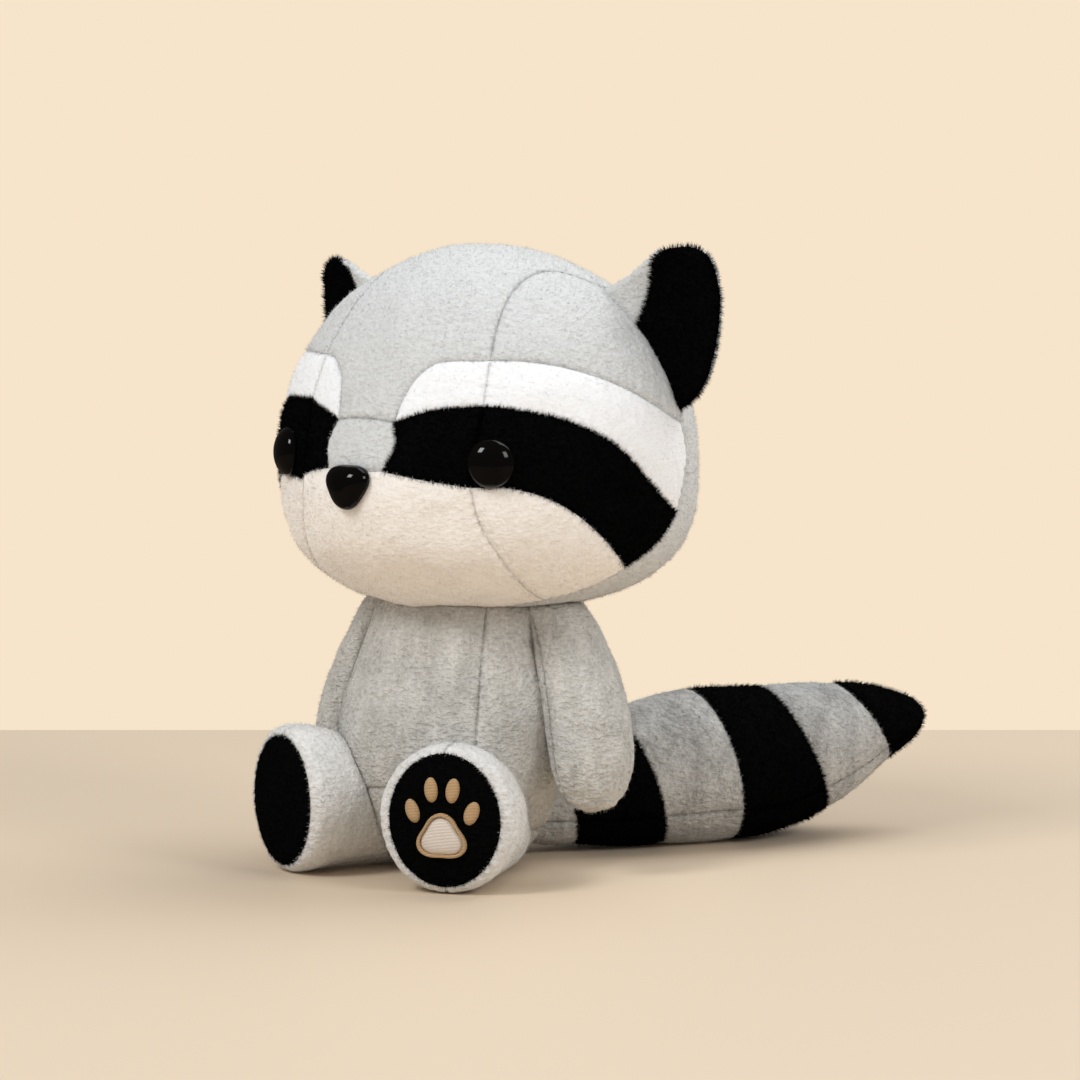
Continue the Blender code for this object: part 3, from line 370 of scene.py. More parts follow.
@dataclass(frozen=True)
class Limb:
    """Oval sections carried along a smooth axis, turned evenly from root to tip."""

    axis: Array
    stations: Array
    half_a: Array
    half_b: Array
    stance: Stance
    twist: float = 0.0
    samples: int = 240
    reach: float = 0.92

    @property
    def length(self) -> float:
        """Distance along the limb from its root to its tip."""
        return float(self.stations[-1])

    def middle(self, s: Array) -> Array:
        """Points of the axis at distances along the limb."""
        return np.stack([profile(self.stations, self.axis[:, k], s) for k in range(3)], -1)

    def along(self, s: Array) -> Array:
        """Directions of the axis at distances along the limb."""
        near = np.clip(s, STEP, self.length - STEP)
        return unit(self.middle(near + STEP) - self.middle(near - STEP))

    def across(self, along: Array) -> Pair:
        """Directions across the limb.

        Args:
            along: Directions of the axis.

        Returns:
            The directions sideways, and those forward on a hanging limb or up on a lying one.
        """
        if self.stance is Stance.HANGING:
            side = unit(np.cross(np.broadcast_to([0.0, -1.0, 0.0], along.shape), along))
            return side, np.cross(along, side)
        side = unit(np.cross(along, np.broadcast_to([0.0, 0.0, 1.0], along.shape)))
        return side, np.cross(side, along)

    def point(self, turn: Array, s: Array) -> Array:
        """Outer point of the limb: a twisted oval round its axis.

        Args:
            turn: Angles round the limb.
            s: Distances along it.

        Returns:
            The points.
        """
        side, front = self.across(self.along(s))
        a = np.maximum(profile(self.stations, self.half_a, s), 0.0) * np.sin(turn)
        b = np.maximum(profile(self.stations, self.half_b, s), 0.0) * np.cos(turn)
        twist = self.twist * s / self.length
        aside, ahead = a * np.cos(twist) + b * np.sin(twist), b * np.cos(twist) - a * np.sin(twist)
        return self.middle(s) + side * aside[..., None] + front * ahead[..., None]

    def surface(self, turn: Array, s: Array) -> Pair:
        """Points of the limb and the normals there, from its central differences.

        Args:
            turn: Angles round the limb.
            s: Distances along it.

        Returns:
            The points and the normals. At a pointed tip, the normal is the axis's direction.
        """
        place = self.point(turn, s)
        near = np.minimum(s, self.length - 2 * NUDGE)
        run_t = self.point(turn + TURN_NUDGE, near) - self.point(turn - TURN_NUDGE, near)
        run_s = self.point(turn, near + NUDGE) - self.point(turn, np.maximum(near - NUDGE, 0))
        normal = unit(np.cross(run_t, run_s))
        away, along = place - self.middle(s), self.along(s)
        normal *= np.sign(np.sum(normal * (away + along * NUDGE), -1, keepdims=True))
        pointed = np.linalg.norm(away, axis=-1, keepdims=True) < POINT
        return place, np.where(pointed & (s[..., None] > self.length / 2), along, normal)

    def emerges(self, turn: Array, hidden: Callable[[Array], Array]) -> Array:
        """Distance along the limb at which it comes out of what it is sewn to.

        The limb is sampled along its length, and the last crossing from inside to outside is read
        by a straight line between its two samples.

        Args:
            turn: Angles round the limb.
            hidden: Gives a negative value inside the neighbours.

        Returns:
            One distance for each angle.
        """
        s = np.linspace(0, self.reach * self.length, self.samples)
        level = hidden(self.point(*np.meshgrid(turn, s)))
        inside = level < 0
        last = np.where(inside.any(0), len(s) - 1 - inside[::-1].argmax(0), 0)
        last = np.minimum(last, len(s) - 2)
        column = np.arange(len(turn))
        low, high = level[last, column], level[last + 1, column]
        share = np.where(inside.any(0), np.clip(-low / np.maximum(high - low, 1e-9), 0, 1), 0)
        return s[last] + share * (s[1] - s[0])


HEAD = HeadForm()
BODY = BodyForm()


# Finishes


def feed(tree: bpy.types.NodeTree, node: bpy.types.Node, inputs: Inputs) -> bpy.types.Node:
    """Sets inputs of a node.

    Args:
        tree: The tree that holds the node.
        node: The node.
        inputs: For each input, by name or number, its value or the output that feeds it.

    Returns:
        The same node.
    """
    for key, value in inputs.items():
        if isinstance(value, bpy.types.NodeSocket):
            tree.links.new(value, node.inputs[key])
        else:
            node.inputs[key].default_value = value
    return node


def added(tree: bpy.types.NodeTree, kind: str, inputs: Inputs | None = None) -> bpy.types.Node:
    """A new shader node of a kind, with its inputs set."""
    return feed(tree, tree.nodes.new("ShaderNode" + kind), inputs or {})


def ramp(
    tree: bpy.types.NodeTree,
    factor: bpy.types.NodeSocket,
    low: tuple[float, Colour],
    high: tuple[float, Colour],
) -> bpy.types.NodeSocket:
    """A colour that runs in a straight line between two stops.

    Args:
        tree: The tree to add it to.
        factor: The output that drives it.
        low: Place and colour of the first stop.
        high: Place and colour of the second stop.

    Returns:
        The colour's output.
    """
    node = added(tree, "ValToRGB", {"Fac": factor})
    for stop, (place, colour) in zip(node.color_ramp.elements, (low, high)):
        stop.position, stop.color = place, (*colour, 1)
    return node.outputs["Color"]


def blank(name: str) -> tuple[bpy.types.Material, bpy.types.NodeTree, bpy.types.Node]:
    """A new material, its tree and its Principled shader.

    Args:
        name: The material's name.

    Returns:
        The three of them.
    """
    made = bpy.data.materials.new(name)
    made.use_nodes = True
    return made, made.node_tree, made.node_tree.nodes["Principled BSDF"]


@dataclass(frozen=True)
class Pile:
    """Short pile as noises: tufts, fine fibres, curls and broad nap strokes, and its painted shade.
    """

    tuft_scale: float = 1100.0
    fibre_scale: float = 3200.0
    curl_scale: float = 500.0
    stroke_scale: float = 130.0
    tufts: float = 0.40
    fibres: float = 0.30
    curls: float = 0.30
    strokes: float = 0.15
    curl_height: float = 1.3
    lie_stretch: float = 0.45
    curl_stretch: float = 1.7
    roughness: float = 0.6

    def group(self) -> bpy.types.NodeTree:
        """The node group of the pile, which is made once.

        All are noises, stretched down along the lie of the pile, and the curls across it.

        Returns:
            A group whose painted shade runs from 0 in the depth of the pile to 1 at its tips,
            darker where the height is low and with painted streaks of nap sheen, and whose height
            feeds a bump.
        """
        if "pile" in bpy.data.node_groups:
            return bpy.data.node_groups["pile"]
        group = bpy.data.node_groups.new("pile", "ShaderNodeTree")
        new_socket = partial(group.interface.new_socket, socket_type="NodeSocketFloat")
        scales = {"Tuft Scale": self.tuft_scale, "Fibre Scale": self.fibre_scale}
        for name, value in {**scales, "Stroke": self.strokes}.items():
            new_socket(name=name, in_out="INPUT").default_value = value
        for name in ("Painted Shade", "Height"):
            new_socket(name=name, in_out="OUTPUT")
        given, out = group.nodes.new("NodeGroupInput"), group.nodes.new("NodeGroupOutput")
        place = added(group, "TexCoord").outputs["Object"]
        lie, curled = (
            added(group, "Mapping", {"Vector": place, "Scale": (1.0, 1.0, rise)})
            for rise in (self.lie_stretch, self.curl_stretch)
        )

        def noise(scale: object, detail: float, way: bpy.types.Node = lie) -> bpy.types.NodeSocket:
            """A noise texture in one of the two mappings."""
            inputs = {"Vector": way.outputs[0], "Scale": scale, "Detail": detail}
            return added(group, "TexNoise", {**inputs, "Roughness": self.roughness}).outputs["Fac"]

        def maths(kind: str, a: object, b: object) -> bpy.types.NodeSocket:
            """One sum or product of two values.

            Args:
                kind: The node's operation.
                a: A value or an output.
                b: A value or an output.

            Returns:
                The result's output.
            """
            node = added(group, "Math", {0: a, 1: b})
            node.operation = kind
            return node.outputs[0]

        tuft = noise(given.outputs["Tuft Scale"], 3.0)
        fibre = noise(given.outputs["Fibre Scale"], 2.0)
        stroke, curl = noise(self.stroke_scale, 2.0), noise(self.curl_scale, 1.0, curled)
        plus, times = partial(maths, "ADD"), partial(maths, "MULTIPLY")
        grain = plus(times(tuft, self.tufts), times(fibre, self.fibres))
        fine = plus(grain, times(curl, self.curls))
        # painted nap sheen: light and dark streaks of the nap, added to the colour but not the
        # height
        painted_nap_streaks = times(maths("SUBTRACT", stroke, 0.5), given.outputs["Stroke"])
        raised = plus(fine, times(curl, self.curl_height))
        # The painted shade shares the height's noises, so the colour darkens in the pile's hollows.
        feed(group, out, {"Painted Shade": plus(fine, painted_nap_streaks), "Height": raised})
        return group


PILE = Pile()


@dataclass(frozen=True)
class Finish:
    """A kind of material, made anew for each piece."""

    name: str

    def looks(self, tree: bpy.types.NodeTree) -> Inputs:
        """Inputs of the Principled shader, with any nodes that feed them added to the tree."""
        raise NotImplementedError

    def material(self, piece: str) -> bpy.types.Material:
        """A material of this finish for one piece.

        Args:
            piece: Name of the piece, which the material's name ends in.

        Returns:
            The material.
        """
        made, tree, shader = blank(f"{self.name}_{piece}")
        feed(tree, shader, self.looks(tree))
        return made


@dataclass(frozen=True)
class PileFinish(Finish):
    """Short pile of one colour, with painted shade: darker in the pile's hollows than at its tips.
    """

    depth: Colour
    tips: Colour
    sheen: float = 0.25
    relief: float = 0.0008
    stroke: float = 0.15
    shine: float = 0.15
    sheen_spread: float = 0.45
    roughness: float = 0.92
    bump: float = 0.9
    deep_at: float = 0.30
    tips_at: float = 0.66

    def looks(self, tree: bpy.types.NodeTree) -> Inputs:
        """Two colours, blended by the painted shade of the pile's hollows, and a bump from its
        noises.

        Args:
            tree: The material's tree.

        Returns:
            The shader's inputs.
        """
        pile = tree.nodes.new("ShaderNodeGroup")
        pile.node_tree = PILE.group()
        feed(tree, pile, {"Stroke": self.stroke})
        raised = {"Strength": self.bump, "Distance": self.relief, "Height": pile.outputs["Height"]}
        # The depth colour is painted shade in the hollows, and the stroke paints streaks of nap
        # sheen.
        stops = (self.deep_at, self.depth), (self.tips_at, self.tips)
        return {
            "Base Color": ramp(tree, pile.outputs["Painted Shade"], *stops),
            "Normal": added(tree, "Bump", raised).outputs["Normal"],
            "Roughness": self.roughness,
            "Specular IOR Level": self.shine,
            "Sheen Weight": self.sheen,
            "Sheen Roughness": self.sheen_spread,
        }


@dataclass(frozen=True)
class GlossFinish(Finish):
    """Moulded black plastic, with the faint haze that handling leaves."""

    colour: Colour = (0.0025, 0.002, 0.0018)
    shine: float = 0.2
    haze_scale: float = 160.0
    clearest: float = 0.04
    haziest: float = 0.10

    def looks(self, tree: bpy.types.NodeTree) -> Inputs:
        """One colour, whose roughness follows a noise.

        Args:
            tree: The material's tree.

        Returns:
            The shader's inputs.
        """
        place = added(tree, "TexCoord").outputs["Object"]
        haze = added(tree, "TexNoise", {"Vector": place, "Scale": self.haze_scale, "Detail": 4.0})
        spread = {"Value": haze.outputs["Fac"], "To Min": self.clearest, "To Max": self.haziest}
        return {
            "Base Color": (*self.colour, 1),
            "Roughness": added(tree, "MapRange", spread).outputs["Result"],
            "Specular IOR Level": self.shine,
        }


@dataclass(frozen=True)
class ThreadFinish(Finish):
    """Satin-stitched thread: fine ridges across each motif, under a soft shine."""

    shadow: Colour
    light: Colour
    thread: float = 0.00045
    relief: float = 0.0002
    bump: float = 0.6
    waver: float = 1.5
    roughness: float = 0.45
    sheen: float = 0.2

    def looks(self, tree: bpy.types.NodeTree) -> Inputs:
        """Two colours and a bump from level stitches as wide as the thread.

        Args:
            tree: The material's tree.

        Returns:
            The shader's inputs.
        """
        waves = {
            "Vector": added(tree, "TexCoord").outputs["Object"],
            "Scale": math.pi / 10 / self.thread,
            "Distortion": self.waver,
            "Detail Scale": 3.0,
        }
        ridge = added(tree, "TexWave", waves)
        ridge.bands_direction = "Z"
        crest = ridge.outputs["Fac"]
        raised = {"Strength": self.bump, "Distance": self.relief, "Height": crest}
        return {
            "Base Color": ramp(tree, crest, (0.0, self.shadow), (1.0, self.light)),
            "Normal": added(tree, "Bump", raised).outputs["Normal"],
            "Roughness": self.roughness,
            "Sheen Weight": self.sheen,
        }


# The first colour of each pile is painted shade in its hollows; the second is the colour at its
# tips.
GREY_PILE = PileFinish("grey_pile", (0.53, 0.53, 0.52), (0.69, 0.69, 0.675), relief=0.00045)
BRUSHED_PILE = PileFinish("brushed_pile", (0.38, 0.365, 0.335), (0.64, 0.62, 0.58), stroke=0.5)
TAIL_PILE = PileFinish("tail_pile", (0.28, 0.275, 0.265), (0.56, 0.55, 0.53), stroke=0.6)
PALE_PILE = PileFinish(
    "pale_pile", (0.56, 0.55, 0.53), (0.82, 0.81, 0.79), relief=0.0005, stroke=0.3
)
WHITE_PILE = PileFinish("white_pile", (0.84, 0.84, 0.845), (0.90, 0.90, 0.905), relief=0.00015)
CREAM_PILE = PileFinish(
    "cream_pile", (0.82, 0.755, 0.69), (0.92, 0.875, 0.82), relief=0.00025, stroke=0.35
)
BLACK_PILE = PileFinish(
    "black_pile", (0.0008, 0.0008, 0.0008), (0.003, 0.003, 0.003), 0.0, shine=0.02
)
STUFFING = PileFinish("stuffing", (0.70, 0.70, 0.68), (0.88, 0.88, 0.86))
WASHER = PileFinish("washer", (0.66, 0.66, 0.64), (0.74, 0.74, 0.72), 0.0, 0.00005)
GLOSS = GlossFinish("gloss")
GOLD_THREAD = ThreadFinish("gold_thread", (0.30, 0.17, 0.07), (0.62, 0.40, 0.19))
CREAM_THREAD = ThreadFinish("cream_thread", (0.55, 0.46, 0.38), (0.86, 0.78, 0.69))


# Meshes


class Edge(Enum):
    """The four edges of a grid: its first and last row, and its first and last column."""

    START = "start"
    END = "end"
    FIRST = "first"
    LAST = "last"


ALL_EDGES = tuple(Edge)


@dataclass(frozen=True)
class Seam:
    """How fabric sinks to a sewn seam and puckers between its stitches."""

    groove: float = 0.0005
    groove_width: float = 0.0006
    shoulder: float = 0.0005
    shoulder_reach: float = 0.0035
    pucker: float = 0.00022
    pucker_reach: float = 0.0025
    stitch: float = 0.0032
    allowance: float = 0.0020
    overhang: float = 0.0012
    crowding: float = 5.0
    sweep: float = 1.8

    def relief(self, distance: Array, travelled: Array) -> Array:
        """Height over the form near a seam.

        A Gaussian groove and an exponential shoulder sink the fabric, and a sine along the seam,
        which fades both at the seam and away from it, puckers it.

        Args:
            distance: Distance to the seam.
            travelled: Place along the seam.

        Returns:
            Heights, mostly negative.
        """
        near = np.exp(-((distance / self.groove_width) ** 2))
        sunk = self.groove * near + self.shoulder * np.exp(-distance / self.shoulder_reach)
        fade = np.exp(-distance / self.pucker_reach) * (1 - near)
        return self.pucker * np.sin(2 * math.pi * travelled / self.stitch) * fade - sunk


def crossed(points: Array, triangles: Array) -> Array:
    """Normals of triangles, each twice as long as its triangle's area."""
    a, b, c = (points[triangles[:, k]] for k in range(3))
    return np.cross(b - a, c - a)


@dataclass(frozen=True)
class Fibres:
    """Loose fibres that stand out of the pile and lean with its nap."""

    per_mm2: float = 0.6
    length: float = 0.0012
    radius: float = 0.00009
    lean: float = 0.9
    scatter: float = 0.35
    rooted: float = 0.0002
    shortest: float = 0.5
    longest: float = 1.1
    seed: int = 7

    def grow(
        self, points: Array, triangles: Array, normals: Array, nap: Array, crowd: Array
    ) -> tuple[Array, Array, Array]:
        """Closed four-sided slivers rooted in the surface.

        Roots are spread by area times the crowding, and a root is a random blend of its triangle's
        corners. The tip lies along the normal plus the lean times the nap and some chance.

        Args:
            points: The surface's vertices.
            triangles: Its triangles.
            normals: Its vertex normals.
            nap: Direction that the pile lies in at each vertex.
            crowd: How many times denser the fibres stand at each vertex.

        Returns:
            The slivers' points, their triangles and the vertex that each sliver is rooted by.
        """
        rng = np.random.default_rng(self.seed + len(points))
        area = np.linalg.norm(crossed(points, triangles), axis=1) / 2 * crowd[triangles].mean(1)
        count = int(area.sum() * 1e6 * self.per_mm2)
        picked = np.searchsorted(area.cumsum(), rng.random(count) * area.sum())
        chosen = triangles[picked.clip(0, len(area) - 1)]
        share = rng.dirichlet((1, 1, 1), count)[..., None]
        root = (points[chosen] * share).sum(1)
        normal = unit((normals[chosen] * share).sum(1))
        lie = (nap[chosen] * share).sum(1) + rng.normal(0, self.scatter, (count, 3))
        way = unit(normal + self.lean * lie)
        across = unit(np.cross(normal, way))
        other, low = np.cross(normal, across), root - normal * self.rooted
        turns = np.arange(3) * 2 * math.pi / 3
        base = [low + self.radius * (across * math.cos(t) + other * math.sin(t)) for t in turns]
        reach = self.length * rng.uniform(self.shortest, self.longest, count)
        corners = np.stack([*base, root + way * reach[:, None]], 1)
        faces = np.array([[0, 2, 1], [0, 1, 3], [1, 2, 3], [2, 0, 3]])
        slivers = np.arange(count)[:, None, None] * corners.shape[1] + faces
        return corners.reshape(-1, 3), slivers.reshape(-1, 3), chosen[:, 0]


SOFT_SEAM = Seam(groove=0.0002, shoulder=0.0003)
EAR_SEAM = Seam(groove=0.0003, shoulder=0.0, pucker=0.00012, allowance=0.0010)
SHORT_FIBRES = Fibres(1.2, 0.0010)
DARK_FIBRES = Fibres(1.1, 0.0018, 0.00016)
EAR_FIBRES = Fibres(2.0, 0.0021, 0.00012, 0.7)
EAR_BACK_FIBRES = Fibres(1.0)
SEAT_FIBRES = Fibres(0.4)


def mesh_of(name: str, points: Array, triangles: Array, uv: Array) -> bpy.types.Object:
    """A smooth mesh object from arrays.

    Args:
        name: Name of the object and its mesh.
        points: One vertex a row.
        triangles: Three vertex numbers a row.
        uv: One flat place for each vertex.

    Returns:
        The object, linked to the scene.
    """
    mesh = bpy.data.meshes.new(name)
    mesh.vertices.add(len(points))
    mesh.vertices.foreach_set("co", points.astype(np.float32).ravel())
    mesh.loops.add(triangles.size)
    mesh.loops.foreach_set("vertex_index", triangles.astype(np.int32).ravel())
    mesh.polygons.add(len(triangles))
    mesh.polygons.foreach_set("loop_start", np.arange(0, triangles.size, 3, dtype=np.int32))
    mesh.polygons.foreach_set("use_smooth", np.ones(len(triangles), bool))
    layer = mesh.uv_layers.new(name="OFBake")
    layer.uv.foreach_set("vector", uv[triangles.ravel()].astype(np.float32).ravel())
    mesh.update(calc_edges=True)
    mesh.validate()
    piece = bpy.data.objects.new(name, mesh)
    bpy.context.scene.collection.objects.link(piece)
    return piece


def vertex_normals(points: Array, triangles: Array) -> Array:
    """Normals at the vertices: the sums of their triangles' normals, weighted by area.

    Args:
        points: One vertex a row.
        triangles: Three vertex numbers a row.

    Returns:
        One normal for each vertex.
    """
    flat, total = crossed(points, triangles), np.zeros_like(points)
    for k in range(3):
        np.add.at(total, triangles[:, k], flat)
    return unit(total)


def numbered(shape: tuple, wraps: bool, poles: list[int]) -> Array:
    """Vertex numbers of a grid.

    Args:
        shape: Rows, columns and anything after them.
        wraps: Whether the last column is the first one again.
        poles: Rows that are a single point.

    Returns:
        One number for each place of the grid.
    """
    numbers = np.arange(shape[0] * shape[1]).reshape(shape[:2])
    if wraps:
        numbers[:, -1] = numbers[:, 0]
    for row in poles:
        numbers[row] = numbers[row, 0]
    return numbers


def grid_triangles(numbers: Array) -> Array:
    """Triangles between a grid of vertex numbers, two for each cell.

    Args:
        numbers: The vertices' numbers, by row and column.

    Returns:
        Three numbers a row, without the triangles that have shrunk to a line.
    """
    a, b, c, d = numbers[:-1, :-1], numbers[:-1, 1:], numbers[1:, 1:], numbers[1:, :-1]
    both = np.concatenate([np.stack(three, -1).reshape(-1, 3) for three in ((a, b, c), (a, c, d))])
    x, y, z = both.T
    return both[(x != y) & (y != z) & (z != x)]


def facing_out(triangles: Array, normals: Array, outward: Array) -> Array:
    """The triangles, turned over where their normals face against the outward directions."""
    return triangles[:, ::-1] if np.sum(normals * outward) < 0 else triangles


def flat_grid(shape: tuple) -> Array:
    """Flat places of a grid for its UV map, a little inside the unit square."""
    v, u = (np.linspace(UV_EDGE, 1 - UV_EDGE, count) for count in shape[:2])
    return np.stack(np.meshgrid(u, v), -1)


@dataclass
class Panel:
    """A sewn fabric panel, as a grid of places on the toy's form and the normals there."""

    name: str
    points: Array
    normals: Array
    finish: PileFinish
    seams: tuple[Edge, ...] = ALL_EDGES
    wraps: bool = False
    nap: Array | None = None
    seam: Seam = Seam()
    fibres: Fibres = Fibres()
    lump: float = 0.0005
    fill: float = 0.85
    bare_below: float = 0.0022
    calm_reach: float = 0.004
    pile_rise: float = 0.0003
    tuft_stretch: Colour = (1.0, 1.0, 0.6)
    tufts: tuple = ((0.00016, 0.0021, 3), (0.00010, 0.0011, 5))
    lumps: tuple = ((1.0, 0.017, 11), (0.5, 0.008, 12))

    def edge(self, grid: Array, side: Edge) -> Array:
        """One edge of a grid."""
        rows = {Edge.START: grid[0], Edge.END: grid[-1]}
        return rows[side] if side in rows else grid[:, 0 if side is Edge.FIRST else -1]

    @cached_property
    def to_seam(self) -> tuple[Array, Array, Array]:
        """How each grid point lies to its closest seam.

        Returns:
            The distance to the seam, the place along it and the way to it.
        """
        shape, runs = self.points.shape[:2], [self.edge(self.points, side) for side in self.seams]
        border, travelled = np.concatenate(runs), np.concatenate([lengths_along(r) for r in runs])
        distance, number = nearest(border, self.points.reshape(-1, 3))
        way = unit(border[number].reshape(self.points.shape) - self.points)
        return distance.reshape(shape), travelled[number].reshape(shape), way

    def lie(self) -> Pair:
        """How the pile lies and crowds at each grid point.

        Near a seam, by a Gaussian of the distance, it turns to lie over the seam and gets denser.
        Nothing stands up close to the floor.

        Returns:
            The directions of the nap and the crowding.
        """
        distance, _, way = self.to_seam
        near = np.exp(-((distance / self.seam.overhang) ** 2))[..., None]
        nap = np.broadcast_to(DOWN, self.points.shape) if self.nap is None else self.nap
        crowd = (1 + self.seam.crowding * near) * (self.points[..., 2:] > self.bare_below)
        return nap * (1 - near) + self.seam.sweep * way * near, crowd[..., 0]

    def shaped(self) -> Array:
        """The panel's outer face.

        The form is moved along its normals by the seams' relief, by broad lumps of the stuffing
        and by two sizes of tufts. It is pressed flat where it would reach into the floor.

        Returns:
            The grid's points.
        """
        distance, travelled, _ = self.to_seam
        lumps = self.lump * layered(self.points, self.lumps)
        calm = 1 - np.exp(-distance / self.calm_reach)
        tufts = layered(self.points * np.array(self.tuft_stretch), self.tufts)
        height = self.seam.relief(distance, travelled) + lumps * calm + tufts + self.pile_rise
        outer = self.points + self.normals * height[..., None]
        outer[..., 2] = np.maximum(outer[..., 2], 0)
        return outer

    def faced(self) -> tuple[Array, Array, Array, int]:
        """The outer face and the strips that turn its edges in.

        Returns:
            The points, the triangles, the flat places and how many triangles are the outer face.
        """
        outer, flat = self.shaped(), flat_grid(self.points.shape)
        poles = [row for row in (0, -1) if np.ptp(self.points[row], axis=0).max() < POINT / 10]
        numbers = numbered(outer.shape, self.wraps, poles)
        points, parts = [outer.reshape(-1, 3)], [grid_triangles(numbers)]
        places, total = [flat.reshape(-1, 2)], numbers.size
        for side in self.seams:
            rim, away = self.edge(outer, side), self.edge(self.normals, side)
            strip = np.stack([self.edge(numbers, side), total + np.arange(len(rim))])
            parts.append(grid_triangles(strip[::-1] if side in (Edge.START, Edge.LAST) else strip))
            points.append(rim - away * self.seam.allowance)
            places.append(0.5 + (self.edge(flat, side) - 0.5) * UV_TURNED_IN)
            total += len(rim)
        points, triangles, places = (np.concatenate(all_of) for all_of in (points, parts, places))
        tops = triangles[: len(parts[0])]
        outward = self.normals.reshape(-1, 3)[tops[:, 0]]
        return points, facing_out(triangles, crossed(points, tops), outward), places, len(tops)

    def build(self) -> None:
        """Makes the panel, which stands for the solid of the same name, with its loose fibres."""
        points, triangles, uv, tops = self.faced()
        nap, crowd = self.lie()
        normals = vertex_normals(points, triangles)[: crowd.size]
        nap = nap.reshape(-1, 3)
        nap = nap - normals * np.sum(nap * normals, -1, keepdims=True)
        grown = self.fibres.grow(points, triangles[:tops], normals, nap, crowd.ravel())
        triangles = np.concatenate([triangles, grown[1] + len(points)])
        points = np.concatenate([points, grown[0]])
        uv = np.concatenate([uv, np.repeat(uv[grown[2]], 4, axis=0)])
        piece = mesh_of(f"{self.name}_cloth", points, triangles, uv)
        piece.data.materials.append(self.finish.material(self.name))
        settle(piece, self.name)


def settle(piece: bpy.types.Object, node: str, body: str = "root") -> None:
    """Makes a piece ride on a body and stand for a solid, and logs its triangles.

    Args:
        piece: The piece.
        node: Name of the solid.
        body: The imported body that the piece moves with.
    """
    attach(piece, body)
    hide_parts(node)
    LOG.info("%s: %d triangles", piece.name, len(piece.data.polygons))


def steps(length: float) -> int:
    """Number of grid points along a length, a cell apart and at least 5."""
    return max(5, int(round(length / CELL)) + 1)


# Head


